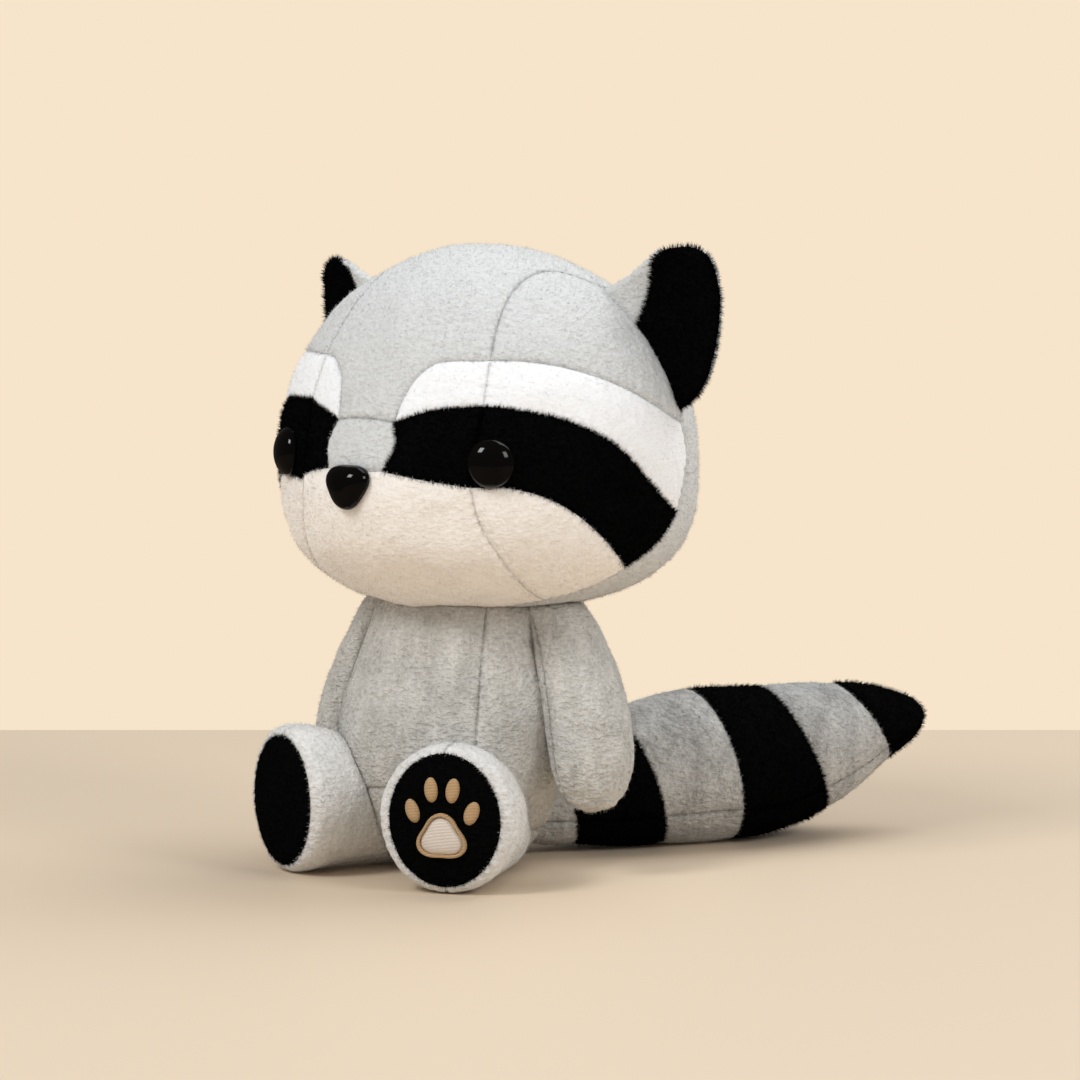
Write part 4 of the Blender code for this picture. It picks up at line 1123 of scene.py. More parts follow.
@dataclass
class Head:
    """The head's panels, cut along seams that are given for the toy's left and mirrored.

    Each place on a seam is a longitude in degrees from the face's middle, a height in millimetres
    from the head's centre, and the share of the front seams' skew that it takes.
    """

    chart_scale: float = 0.062
    skew: float = 5.0
    ear_crown: tuple = (105, 53, 0)
    ear_cheek: tuple = (106, 16, 0)
    brow: tuple = (31.5, 33, 1)
    mask_top: tuple = (29.5, 19.5, 1)
    mask_low: tuple = (26, -5, 1)
    chin: tuple = (60, -41.5, 0)
    brow_back: tuple = (105, 12, 0)
    mask_back_top: tuple = (101, -15.5, 0)
    mask_back_low: tuple = (84, -31.5, 0)
    bridge_top: tuple = (9.5, 14, 0)
    bridge_low: tuple = (8.5, -0.5, 0)
    bridge_top_height: float = 14.8
    bridge_low_height: float = -0.8
    crown_height: float = 63.8
    chin_height: float = -45.3
    brushed_from: Place = (0.0, -0.08, -0.004)
    lump: float = 0.0005
    soft_lump: float = 0.0008
    middle_points: int = 200

    def __post_init__(self) -> None:
        """Lists the seams from the places that they share."""
        crown, chin = (180, self.crown_height, 0), (0, self.chin_height, 0)
        self.seams = {
            "upper_front": (
                self.ear_crown,
                *((88, 58, 0.2), (66, 58.5, 0.5), (45, 54, 0.8), (35, 45, 1)),
                self.brow,
            ),
            "brow_front": (self.brow, self.mask_top),
            "mask_front": (self.mask_top, (27, 6, 1), self.mask_low),
            "chin_front": (self.mask_low, (28.5, -16, 1), (36, -29, 1), self.chin),
            "brow_end": (self.brow, (21, 32.3, 0), (14.5, 28, 0), (11, 21, 0), self.bridge_top),
            "brow_top": (
                self.brow, (50, 32.5, 0), (65, 29.5, 0), (80, 24, 0), (94, 17, 0), self.brow_back
            ),
            "mask_top_inner": (self.mask_top, (22, 18.3, 0), (14.5, 16, 0), self.bridge_top),
            "mask_top_outer": (
                self.mask_top, (43, 18.5, 0), (59, 14.5, 0), (76, 4.5, 0), self.mask_back_top
            ),
            "mask_low_inner": (self.mask_low, (20, -3, 0), self.bridge_low),
            "mask_low_outer": (
                self.mask_low,
                *((42, -5.3, 0), (52, -8.5, 0), (61, -14, 0), (72, -23, 0)),
                self.mask_back_low,
            ),
            "bridge_side": (self.bridge_top, (11.0, 7, 0), self.bridge_low),
            "ear_base": (
                self.ear_crown, (107, 46, 0), (108, 36, 0), (107.5, 26, 0), self.ear_cheek
            ),
            "back_ear": (self.ear_cheek, self.brow_back),
            "back_brow": (self.brow_back, (106, 0, 0), self.mask_back_top),
            "back_mask": (self.mask_back_top, (94, -24, 0), self.mask_back_low),
            "back_cheek": (self.mask_back_low, (73, -38, 0), self.chin),
            "back_chin": (self.chin, (42, -44.2, 0), chin),
            "crown": (self.ear_crown, (116, 57.6, 0), (130, 60.8, 0), (150, 63.0, 0), crown),
        }

    def to_chart(self, direction: Array, facing: int) -> Array:
        """Flat place of a direction on a map of the head.

        The distance from the map's middle is the angle from that middle times the map's scale.

        Args:
            direction: Directions from the head's centre.
            facing: -1 for the map centred on the face, and 1 for the one centred on the back.

        Returns:
            The flat places.
        """
        d = unit(direction)
        angle = np.arccos(np.clip(facing * d[..., 1], -1, 1))
        flat = unit(np.stack([-facing * d[..., 0], d[..., 2]], -1))
        return flat * angle[..., None] * self.chart_scale

    def from_chart(self, place: Array, facing: int) -> Array:
        """Direction of a flat place on one of the two maps.

        Args:
            place: Flat places.
            facing: The map, as in to_chart.

        Returns:
            The directions.
        """
        angle = np.linalg.norm(place, axis=-1) / self.chart_scale
        turn = np.sin(angle) / np.maximum(angle, 1e-9) / self.chart_scale
        x, z = np.moveaxis(place, -1, 0)
        return np.stack([-facing * x * turn, facing * np.cos(angle), z * turn], -1)

    def through(self, lon: Array, z: Array) -> Array:
        """A smooth seam over the head through a few places, as directions."""
        return self.from_chart(smooth_curve(self.to_chart(HEAD.place(lon, z / 1000), -1)), -1)

    def run(self, name: str, side: int) -> Array:
        """One named seam, as directions from the head's centre."""
        lon, z, skewed = np.array(self.seams[name], float).T
        return self.through(lon * side + self.skew * skewed, z)

    def across(self, end: Place, middle: float) -> Array:
        """A short seam over the nose, from the toy's left to its right."""
        return self.through(np.array([end[0], 0, -end[0]]), np.array([end[1], middle, end[1]]))

    def back_middle(self) -> Array:
        """The seam down the middle of the back, straight on the back's map.

        Returns:
            Directions from the crown to the chin.
        """
        heights = np.array([self.crown_height, self.chin_height]) / 1000
        start, end = self.to_chart(HEAD.place(np.array([180.0, 0.0]), heights), 1)[:, 1]
        rise = np.linspace(start, end, self.middle_points)
        return self.from_chart(np.stack([0 * rise, rise], -1), 1)

    def patch(self, *sides: Array, facing: int = -1) -> Pair:
        """A grid between four seams laid end to end.

        It is a Coons patch on the flat map: the blend of the two pairs of sides less the blend of
        the corners.

        Args:
            sides: Four runs of directions, each starting where the last one ends.
            facing: The map to fill it on.

        Returns:
            The points and the normals on the head.
        """
        lengths = [lengths_along(HEAD.point(side))[-1] for side in sides]
        u = np.linspace(0, 1, steps(max(lengths[0], lengths[2])))
        v = np.linspace(0, 1, steps(max(lengths[1], lengths[3])))
        first, second, third, fourth = (self.to_chart(side, facing) for side in sides)
        low, high = (resampled(run, u)[None] for run in (first, third[::-1]))
        left, right = (resampled(run, v)[:, None] for run in (fourth[::-1], second))
        a, b = u[None, :, None], v[:, None, None]
        low_ends, high_ends = ((1 - a) * run[:, :1] + a * run[:, -1:] for run in (low, high))
        corners = (1 - b) * low_ends + b * high_ends
        flat = (1 - b) * low + b * high + (1 - a) * left + a * right - corners
        return HEAD.surface(self.from_chart(flat, facing))

    def side_patches(self, side: int) -> dict[str, Pair]:
        """Grids of the panels on one side of the head.

        Args:
            side: 1 for the toy's left, and -1 for its right.

        Returns:
            The grids by the panels' names.
        """
        s = {name: self.run(name, side) for name in self.seams}
        r = {name: run[::-1] for name, run in s.items()}
        end, end_half = r["brow_end"], len(s["brow_end"]) // 2
        front, chin_half = s["chin_front"], len(s["chin_front"]) // 2
        back = [r[f"back_{name}"] for name in ("cheek", "mask", "brow", "ear")]
        down = np.vstack([*back, r["ear_base"]])
        lip, lid = r["mask_low_outer"], r["mask_top_outer"]
        return {
            "forehead_side": self.patch(s["upper_front"], s["brow_top"], back[3], r["ear_base"]),
            "brow_inner": self.patch(
                s["brow_front"], s["mask_top_inner"], end[: end_half + 1], end[end_half:]
            ),
            "brow_outer": self.patch(s["brow_top"], s["back_brow"], lid, r["brow_front"]),
            "mask_inner": self.patch(
                s["mask_front"], s["mask_low_inner"], r["bridge_side"], r["mask_top_inner"]
            ),
            "mask_outer": self.patch(lid[::-1], s["back_mask"], lip, r["mask_front"]),
            "cheek": self.patch(front[: chin_half + 1], front[chin_half:], back[0], lip),
            "head_back": self.patch(s["crown"], self.back_middle(), r["back_chin"], down, facing=1),
        }

    def middle_patches(self) -> dict[str, Pair]:
        """Grids of the panels that cross the head's middle.

        Returns:
            The grids by the panels' names.
        """
        left, right = ({name: self.run(name, side) for name in self.seams} for side in (1, -1))
        top = self.across(self.bridge_top, self.bridge_top_height)
        low = self.across(self.bridge_low, self.bridge_low_height)
        down = np.vstack([left["upper_front"], left["brow_end"]])
        up = np.vstack([right["upper_front"], right["brow_end"]])[::-1]
        over = np.vstack([right["crown"], left["crown"][::-1]])
        lip = np.vstack([left["mask_low_inner"], low, right["mask_low_inner"][::-1]])
        under = np.vstack([right["back_chin"], left["back_chin"][::-1]])
        bridge = top, right["bridge_side"], low[::-1], left["bridge_side"][::-1]
        return {
            "forehead_centre": self.patch(down, top, up, over),
            "nose_bridge": self.patch(*bridge),
            "muzzle": self.patch(lip, right["chin_front"], under, left["chin_front"][::-1]),
        }

    def build(self) -> None:
        """Makes every panel of the head, with the pile brushed back from the nose."""
        finishes = {"brow": WHITE_PILE, "mask": BLACK_PILE}
        finishes |= {"muzzle": CREAM_PILE, "cheek": CREAM_PILE}
        patches = self.middle_patches()
        for word, side in SIDES.items():
            patches |= {f"{name}_{word}": grid for name, grid in self.side_patches(side).items()}
        nose = np.array(HEAD.centre) + self.brushed_from
        for name, (points, normals) in patches.items():
            finish = finishes.get(name.split("_")[0], GREY_PILE)
            soft = finish is CREAM_PILE
            seam, lump = (SOFT_SEAM, self.soft_lump) if soft else (Seam(), self.lump)
            fibres = DARK_FIBRES if finish is BLACK_PILE else Fibres()
            looks = {"nap": unit(points - nose), "seam": seam, "fibres": fibres, "lump": lump}
            Panel(name, points, normals, finish, **looks).build()


SIDES = {"left": 1, "right": -1}


def grid_normals(points: Array, outward: Array) -> Array:
    """Normals of a grid: the cross product of its two central differences, turned outward."""
    normal = unit(np.cross(np.gradient(points, axis=0), np.gradient(points, axis=1)))
    return normal * np.where(np.sum(normal * outward, -1, keepdims=True) < 0, -1.0, 1.0)


@dataclass
class Ear:
    """An ear: a black front and a grey back that folds round its crown edge to the front.

    Its leaf is flat, seen from the front, and drawn by four edges in millimetres along its base
    and out from it. It is then cupped, and plumped between its edges.
    """

    word: str
    drop: float = 0.0
    tall: float = 1.0
    cup: float = 0.0050
    half: float = 0.0027
    rounding: float = 0.0050
    wrap: float = 0.42
    wrap_end: float = 0.9
    wrap_least: float = 0.10
    crown_edge: tuple = ((0, 0), (2, 9), (2.6, 18), (2.6, 26))
    tip_edge: tuple = ((2.6, 26), (6.5, 34), (12.5, 36.8), (21, 33.5), (31, 27), (38, 21))
    cheek_edge: tuple = ((44.4, 0), (44.5, 8), (42, 15.5), (38, 21))
    ends: tuple = ((105, 53), (106, 16))
    sunk: float = -0.02
    panel_tall: float = 0.036
    panel_wide: float = 0.040
    fold_wide: float = 0.012
    fold_at: float = 0.12
    lump: float = 0.0002
    base_top: float = 0.8
    base_samples: int = 200
    rim_samples: int = 160

    def leaf(self, u: Array, v: Array) -> Array:
        """The leaf's middle surface, from its base at v = 0 to its tip at v = 1.

        It is a Coons patch of the four edges, laid along the line between its two ends on the
        head. The edges come forward of the middle by the cup times v times (1/2 - (2u - 1)^2).

        Args:
            u: Shares along the leaf, from the crown to the cheek.
            v: Shares out from its base.

        Returns:
            The points in the frame.
        """
        crown, cheek = (HEAD.point(HEAD.place(lon, z / 1000 - self.drop)) for lon, z in self.ends)
        along = (cheek - crown) * [1, 0, 1]
        length = np.linalg.norm(along)
        along /= length
        out = np.array([-along[2], 0.0, along[0]])
        a, b = u[..., None], v[..., None]
        edges = [smooth_curve(edge) for edge in (self.crown_edge, self.cheek_edge, self.tip_edge)]
        left, right, tip = (resampled(edge, at) for edge, at in zip(edges, (v, v, u)))
        low, top = np.array(self.cheek_edge[0], float), np.array(self.tip_edge, float)
        corners = a * (1 - b) * low + (1 - a) * b * top[0] + a * b * top[-1]
        flat = (1 - b) * a * low + b * tip + (1 - a) * left + a * right - corners
        flat *= length / low[0] * np.array([1.0, self.tall])
        place = crown + along * flat[..., :1] + out * flat[..., 1:]
        cupped = self.cup * v * (0.5 - (2 * u - 1) ** 2)
        place[..., 1] = crown[1] + (cheek[1] - crown[1]) * u + cupped
        return (place + HEAD.centre) * [SIDES[self.word], 1, 1]

    def base(self, u: Array) -> Array:
        """Share of the leaf's height at which it comes out of the head.

        Args:
            u: Shares along the leaf.

        Returns:
            One share for each, the last sample that is inside the head.
        """
        v = np.linspace(0, self.base_top, self.base_samples)
        leaf = self.leaf(*np.broadcast_arrays(u[None], v[:, None]))
        inside = HEAD.level(leaf) < self.sunk
        return v[np.where(inside.any(0), len(v) - 1 - inside[::-1].argmax(0), 0)]

    def ply(self, u: Array, v: Array, front: Array) -> Pair:
        """Points and normals on one face of the ear.

        The face stands off the leaf by half of its thickness times sqrt(1 - (1 - d)^2), where d is
        the distance to the leaf's free edges over the rounding, up to 1.

        Args:
            u: Shares along the leaf.
            v: Shares out from its base.
            front: 1 on the front and -1 on the back.

        Returns:
            The points and the normals.
        """
        run = np.linspace(0, 1, self.rim_samples)
        none, whole = 0 * run, 0 * run + 1
        edges = ((none, run), (run, whole), (whole, run))
        rim, middle = np.concatenate([self.leaf(*edge) for edge in edges]), self.leaf(u, v)
        d = nearest(rim, middle.reshape(-1, 3))[0].reshape(u.shape) / self.rounding
        plump = np.sqrt(np.clip(1 - (1 - np.clip(d, 0, 1)) ** 2, 0, 1))
        forward = np.array([0.0, -1.0, 0.0]) * front[..., None]
        points = middle + forward * (self.half * plump)[..., None]
        return points, grid_normals(points, forward + 1e-3)

    def fold(self, v: Array) -> Array:
        """Share of the front that the back's fabric covers at a height, less towards the tip."""
        return self.wrap * np.clip(1 - v / self.wrap_end, self.wrap_least, 1)

    def rising(self, u: Array) -> Array:
        """Shares out from the base, in rows from where the ear leaves the head to its tip."""
        low = self.base(u)
        return low + (1 - low) * np.linspace(0, 1, steps(self.panel_tall))[:, None]

    def build(self) -> None:
        """Makes the black front and the grey back, which also covers the fold on the front."""
        across = np.linspace(0, 1, steps(self.panel_wide))
        around = np.concatenate([np.linspace(-1, 0, steps(self.fold_wide))[:-1], across])
        low_fold = self.fold(np.array(self.fold_at))
        v = self.rising(low_fold + (1 - low_fold) * across)
        fold = self.fold(v)
        front = self.ply(fold + (1 - fold) * across, v, np.ones_like(v))
        v = self.rising(np.where(around < 0, -around * low_fold, around))
        fronted = np.broadcast_to(np.where(around < 0, 1.0, -1.0), v.shape)
        back = self.ply(np.where(around < 0, -around * self.fold(v), around), v, fronted)
        for name, (points, normals), finish, fibres in (
            ("front", front, BLACK_PILE, EAR_FIBRES),
            ("back", back, GREY_PILE, EAR_BACK_FIBRES),
        ):
            nap = unit(np.gradient(points, axis=0) + 1e-9)
            looks = {"nap": nap, "seam": EAR_SEAM, "fibres": fibres, "lump": self.lump}
            Panel(f"ear_{name}_{self.word}", points, normals, finish, **looks).build()


EAR_SET = {"left": (0.0, 1.0), "right": (0.0035, 0.95)}


def moulded(name: str, rings: Array) -> None:
    """A closed glossy moulding through rings of points.

    Args:
        name: Name of the solid that it stands for.
        rings: Points by ring and by turn, where the last turn repeats the first, and the first
            and the last ring are single points.
    """
    triangles, points = grid_triangles(numbered(rings.shape, True, [0, -1])), rings.reshape(-1, 3)
    outward = points[triangles[:, 0]] - points.mean(0)
    triangles = facing_out(triangles, crossed(points, triangles), outward)
    piece = mesh_of(f"{name}_moulding", points, triangles, flat_grid(rings.shape).reshape(-1, 2))
    piece.data.materials.append(GLOSS.material(name))
    settle(piece, name)


@dataclass
class Features:
    """The glossy eyes and the nose, each pressed a little into the pile.

    The toy's right eye was set a little nearer to the nose.
    """

    clearance: float = 0.0003
    eye_lons: tuple[float, float] = (36.5, -33.0)
    eye_z: float = 0.0025
    eye_radius: float = 0.0075
    eye_height: float = 0.0055
    eye_rim: float = 0.0010
    eye_sink: float = 0.0007
    eye_under: tuple = ((0.97, 0.0003), (0.9, 0.0), (0.0, 0.0))
    nose_z: float = -0.0045
    nose_width: float = 0.0155
    nose_tall: float = 0.0138
    nose_depth: float = 0.0064
    nose_rim: float = 0.0010
    nose_corners: float = 0.10
    nose_sink: float = 0.0014
    nose_fullness: float = 0.9
    eye_grid: tuple[int, int] = (30, 65)
    nose_grid: tuple[int, int] = (40, 81)

    def stood(self, rings: Array, lon: float, z: float, sink: float) -> Array:
        """Rings of points turned and moved so that their Z axis leaves the head at a place.

        Args:
            rings: The points.
            lon: Degrees round from the face's middle.
            z: Height from the head's centre.
            sink: How deep it is pressed in.

        Returns:
            The points in the frame.
        """
        point, normal = HEAD.surface(HEAD.place(lon, z))
        side = unit(np.cross([0.0, 0.0, 1.0], normal))
        turned = rings @ np.stack([side, np.cross(normal, side), normal])
        return point + normal * (self.clearance - sink) + turned

    def eye(self) -> Array:
        """Rings of a domed eye.

        Its profile is a quarter of an ellipse over a short straight rim, with a flat underside.

        Returns:
            The points by ring and by turn.
        """
        rings, turns = self.eye_grid
        arc, turn = np.linspace(math.pi / 2, 0, rings), np.linspace(0, 2 * math.pi, turns)
        share, under = np.array(self.eye_under).T
        radius = self.eye_radius * np.concatenate([np.cos(arc), share])
        dome = self.eye_rim + (self.eye_height - self.eye_rim) * np.sin(arc)
        height = np.concatenate([dome, under])[:, None] + 0 * turn
        x, y = np.outer(radius, np.cos(turn)), np.outer(radius, np.sin(turn))
        return np.stack([x, y, height], -1)

    def nose(self) -> Array:
        """Rings of the nose: an oval whose radius grows by the corners' share times cos 3t.

        Returns:
            The points by ring and by turn.
        """
        rings, turns = self.nose_grid
        lat = np.linspace(math.pi / 2, -math.pi / 2, rings)[:, None]
        turn = np.linspace(0, 2 * math.pi, turns)
        corner = 1 + self.nose_corners * np.cos(3 * (turn + math.pi / 2))
        level = np.cos(lat) ** self.nose_fullness
        x = level * corner * np.cos(turn) * self.nose_width / 2
        y = level * corner * np.sin(turn) * self.nose_tall / 2
        tall = np.where(lat > 0, self.nose_depth - self.nose_rim, self.nose_rim)
        return np.stack([x, y, tall * np.sin(lat) + self.nose_rim + 0 * turn], -1)

    def build(self) -> None:
        """Makes both eyes and the nose."""
        for word, lon in zip(SIDES, self.eye_lons):
            moulded(f"eye_{word}", self.stood(self.eye(), lon, self.eye_z, self.eye_sink))
        moulded("nose", self.stood(self.nose(), 0.0, self.nose_z, self.nose_sink))


# Body and limbs


@dataclass
class Body:
    """The belly, the two sides and the seat, up to the neck seam under the head."""

    side_seam: float = 47.0
    seat_seam: float = 0.0130
    front_rise: float = 0.0150
    neck_lowest: float = 0.060
    halvings: int = 30
    slope: float = 1.15
    seat_grid: tuple[int, int] = (241, 52)
    seat_bend: float = 0.12
    lump: float = 0.0007

    def seat_height(self, lon: Array) -> Array:
        """Height of the seat's seam, which rises in front with the square of the cosine."""
        return self.seat_seam + self.front_rise * np.clip(np.cos(lon), 0, 1) ** 2

    def neck_height(self, lon: Array) -> Array:
        """Height at which the body meets the head, found by halving an interval again and again.

        Args:
            lon: Angles from the front.

        Returns:
            One height for each angle.
        """
        low, high = np.full_like(lon, self.neck_lowest), np.full_like(lon, BODY.height)
        for _ in range(self.halvings):
            middle = (low + high) / 2
            outside = HEAD.level(BODY.point(lon, middle)) > 0
            low, high = np.where(outside, middle, low), np.where(outside, high, middle)
        return low

    def seat(self) -> None:
        """Makes the seat: flat in the middle, and up round the rim to its seam."""
        turns, rows = self.seat_grid
        lon, share = np.meshgrid(np.linspace(-math.pi, math.pi, turns), np.linspace(0, 2, rows))
        rim, normal = BODY.surface(lon, self.seat_height(lon) * np.clip(share - 1, 0, 1))
        centre = np.array([0.0, BODY.centre_y, 0.0])
        points = centre + (rim - centre) * np.clip(share, 0, 1)[..., None]
        bent = np.clip(share - 1, 0, self.seat_bend)[..., None] / self.seat_bend
        looks = {"seams": (Edge.END,), "wraps": True, "lump": 0.0, "fibres": SEAT_FIBRES}
        normals = unit(DOWN * (1 - bent) + normal * bent)
        Panel("seat", points, normals, BRUSHED_PILE, **looks).build()

    def build(self) -> None:
        """Makes the four panels."""
        corner = math.radians(self.side_seam)
        for name, start, end in (
            ("belly", -corner, corner),
            ("body_side_left", corner, math.pi),
            ("body_side_right", -math.pi, -corner),
        ):
            lon = np.linspace(start, end, steps(abs(end - start) * BODY.half_width))
            low, high = self.seat_height(lon), self.neck_height(lon)
            share = np.linspace(0, 1, steps((high - low).max() * self.slope))[:, None]
            grid = BODY.surface(lon + 0 * share, low + (high - low) * share)
            Panel(name, *grid, BRUSHED_PILE, lump=self.lump).build()
        self.seat()


@dataclass
class Arm:
    """An arm hangs from its shoulder, swings out and ahead, and ends in a blunt paw.

    Each station gives, as shares of the length, the distance along the arm and how far its axis is
    out, ahead and down from the shoulder, and then the share of its full thickness.
    """

    word: str
    shoulder: tuple[float, float, float] = (0.0265, 0.0130, 0.0850)
    length: float = 0.0705
    half_thick: float = 0.0108
    half_deep: float = 0.0138
    twist: float = 32.0
    panel_wide: float = 0.042
    lump: float = 0.0007
    stations: tuple = (
        (0.0, 0.0, 0.0, 0.0, 0.72),
        (0.148, 0.092, 0.0, 0.111, 0.84),
        (0.326, 0.177, 0.010, 0.267, 0.95),
        (0.504, 0.245, 0.025, 0.430, 1.0),
        (0.681, 0.302, 0.050, 0.599, 1.0),
        (0.830, 0.333, 0.080, 0.744, 0.90),
        (0.926, 0.345, 0.100, 0.839, 0.66),
        (0.978, 0.349, 0.112, 0.889, 0.36),
        (1.0, 0.350, 0.115, 0.911, 0.0),
    )

    def form(self) -> Limb:
        """The arm's form, mirrored for the toy's right.

        Returns:
            The form.
        """
        side = SIDES[self.word]
        at, out, ahead, down, share = np.array(self.stations).T
        axis = (self.shoulder + self.length * np.stack([out, -ahead, -down], -1)) * [side, 1, 1]
        halves = self.half_thick * share, self.half_deep * share
        twist = math.radians(-self.twist) * side
        return Limb(axis, self.length * at, *halves, Stance.HANGING, twist)

    def build(self) -> None:
        """Makes the outer and the inner panel."""
        form, side = self.form(), SIDES[self.word]
        for name, start in (("outer", 0.0), ("inner", math.pi)):
            turn = (start + np.linspace(0, math.pi, steps(self.panel_wide))) * side
            root = form.emerges(turn, lambda p: np.minimum(BODY.level(p), HEAD.level(p)))
            rows = np.sin(np.linspace(0, 1, steps(form.length)) * math.pi / 2)[:, None]
            grid = form.surface(turn + 0 * rows, root + (form.length - root) * rows)
            Panel(f"arm_{name}_{self.word}", *grid, BRUSHED_PILE, lump=self.lump).build()


@dataclass
class Leg:
    """A leg lies on the floor and widens to its foot, whose rim turns in to the sole.

    Each station gives shares: of the leg's length, of its full width and of its full height. The
    last section is the sole's, and has its own two sizes.
    """

    word: str
    half_width: float = 0.0212
    half_height: float = 0.0228
    sole_half_width: float = 0.0180
    sole_half_height: float = 0.0206
    sole_bulge: float = 0.0022
    hip: tuple[float, float] = (0.0170, -0.0010)
    sole_centre: tuple[float, float] = (0.0326, -0.0434)
    panel_wide: float = 0.070
    sole_round: float = 0.125
    sole_out: float = 0.021
    lump: float = 0.0007
    stations: tuple = (
        (0.0, 0.62, 0.50),
        (0.255, 0.74, 0.68),
        (0.511, 0.88, 0.87),
        (0.723, 0.97, 0.97),
        (0.872, 1.0, 1.0),
        (0.962, 0.96, 0.965),
    )

    def form(self) -> Limb:
        """The leg's form, mirrored for the toy's right.

        Returns:
            The form, whose axis keeps the leg's underside on the floor.
        """
        share, wide, tall = np.array(self.stations).T
        share = np.append(share, 1.0)
        wide = np.append(self.half_width * wide, self.sole_half_width)
        tall = np.append(self.half_height * tall, self.sole_half_height)
        level = np.outer(1 - share, self.hip) + np.outer(share, self.sole_centre)
        height = np.where(np.arange(len(tall)) < tall.argmax(), tall, self.half_height)
        axis = np.column_stack([level, height]) * [SIDES[self.word], 1, 1]
        return Limb(axis, math.dist(self.hip, self.sole_centre) * share, wide, tall, Stance.LYING)

    def sole_point(self, turn: Array, share: Array) -> Pair:
        """Points and normals on the sole: its rim shrunk to its middle, with a parabolic bulge.

        Args:
            turn: Angles round the foot.
            share: Shares of the way from the middle to the rim.

        Returns:
            The points and the normals.
        """
        form = self.form()
        end = np.array([form.length])
        centre, along = form.middle(end)[0], form.along(end)[0]
        rim = form.point(turn, form.length + 0 * turn)
        bulge = along * (self.sole_bulge * (1 - share**2))[..., None]
        slope = 2 * self.sole_bulge * share / self.sole_half_width
        normals = unit(along + unit(rim - centre) * slope[..., None])
        return centre + (rim - centre) * share[..., None] + bulge, normals

    def build(self) -> None:
        """Makes the inner and the outer panel and the sole."""
        form, side = self.form(), SIDES[self.word]
        for name, start in (("inner", 0.0), ("outer", math.pi)):
            turn = (start + np.linspace(0, math.pi, steps(self.panel_wide))) * side
            root = form.emerges(turn, BODY.level)
            rows = np.linspace(0, 1, steps(form.length))[:, None]
            grid = form.surface(turn + 0 * rows, root + (form.length - root) * rows)
            Panel(f"leg_{name}_{self.word}", *grid, PALE_PILE, lump=self.lump).build()
        turn = np.linspace(0, 2 * math.pi, steps(self.sole_round))
        grid = self.sole_point(*np.meshgrid(turn, np.linspace(0, 1, steps(self.sole_out))))
        looks = {"seams": (Edge.END,), "wraps": True, "fibres": SHORT_FIBRES, "lump": 0.0}
        Panel(f"sole_{self.word}", *grid, BLACK_PILE, **looks).build()


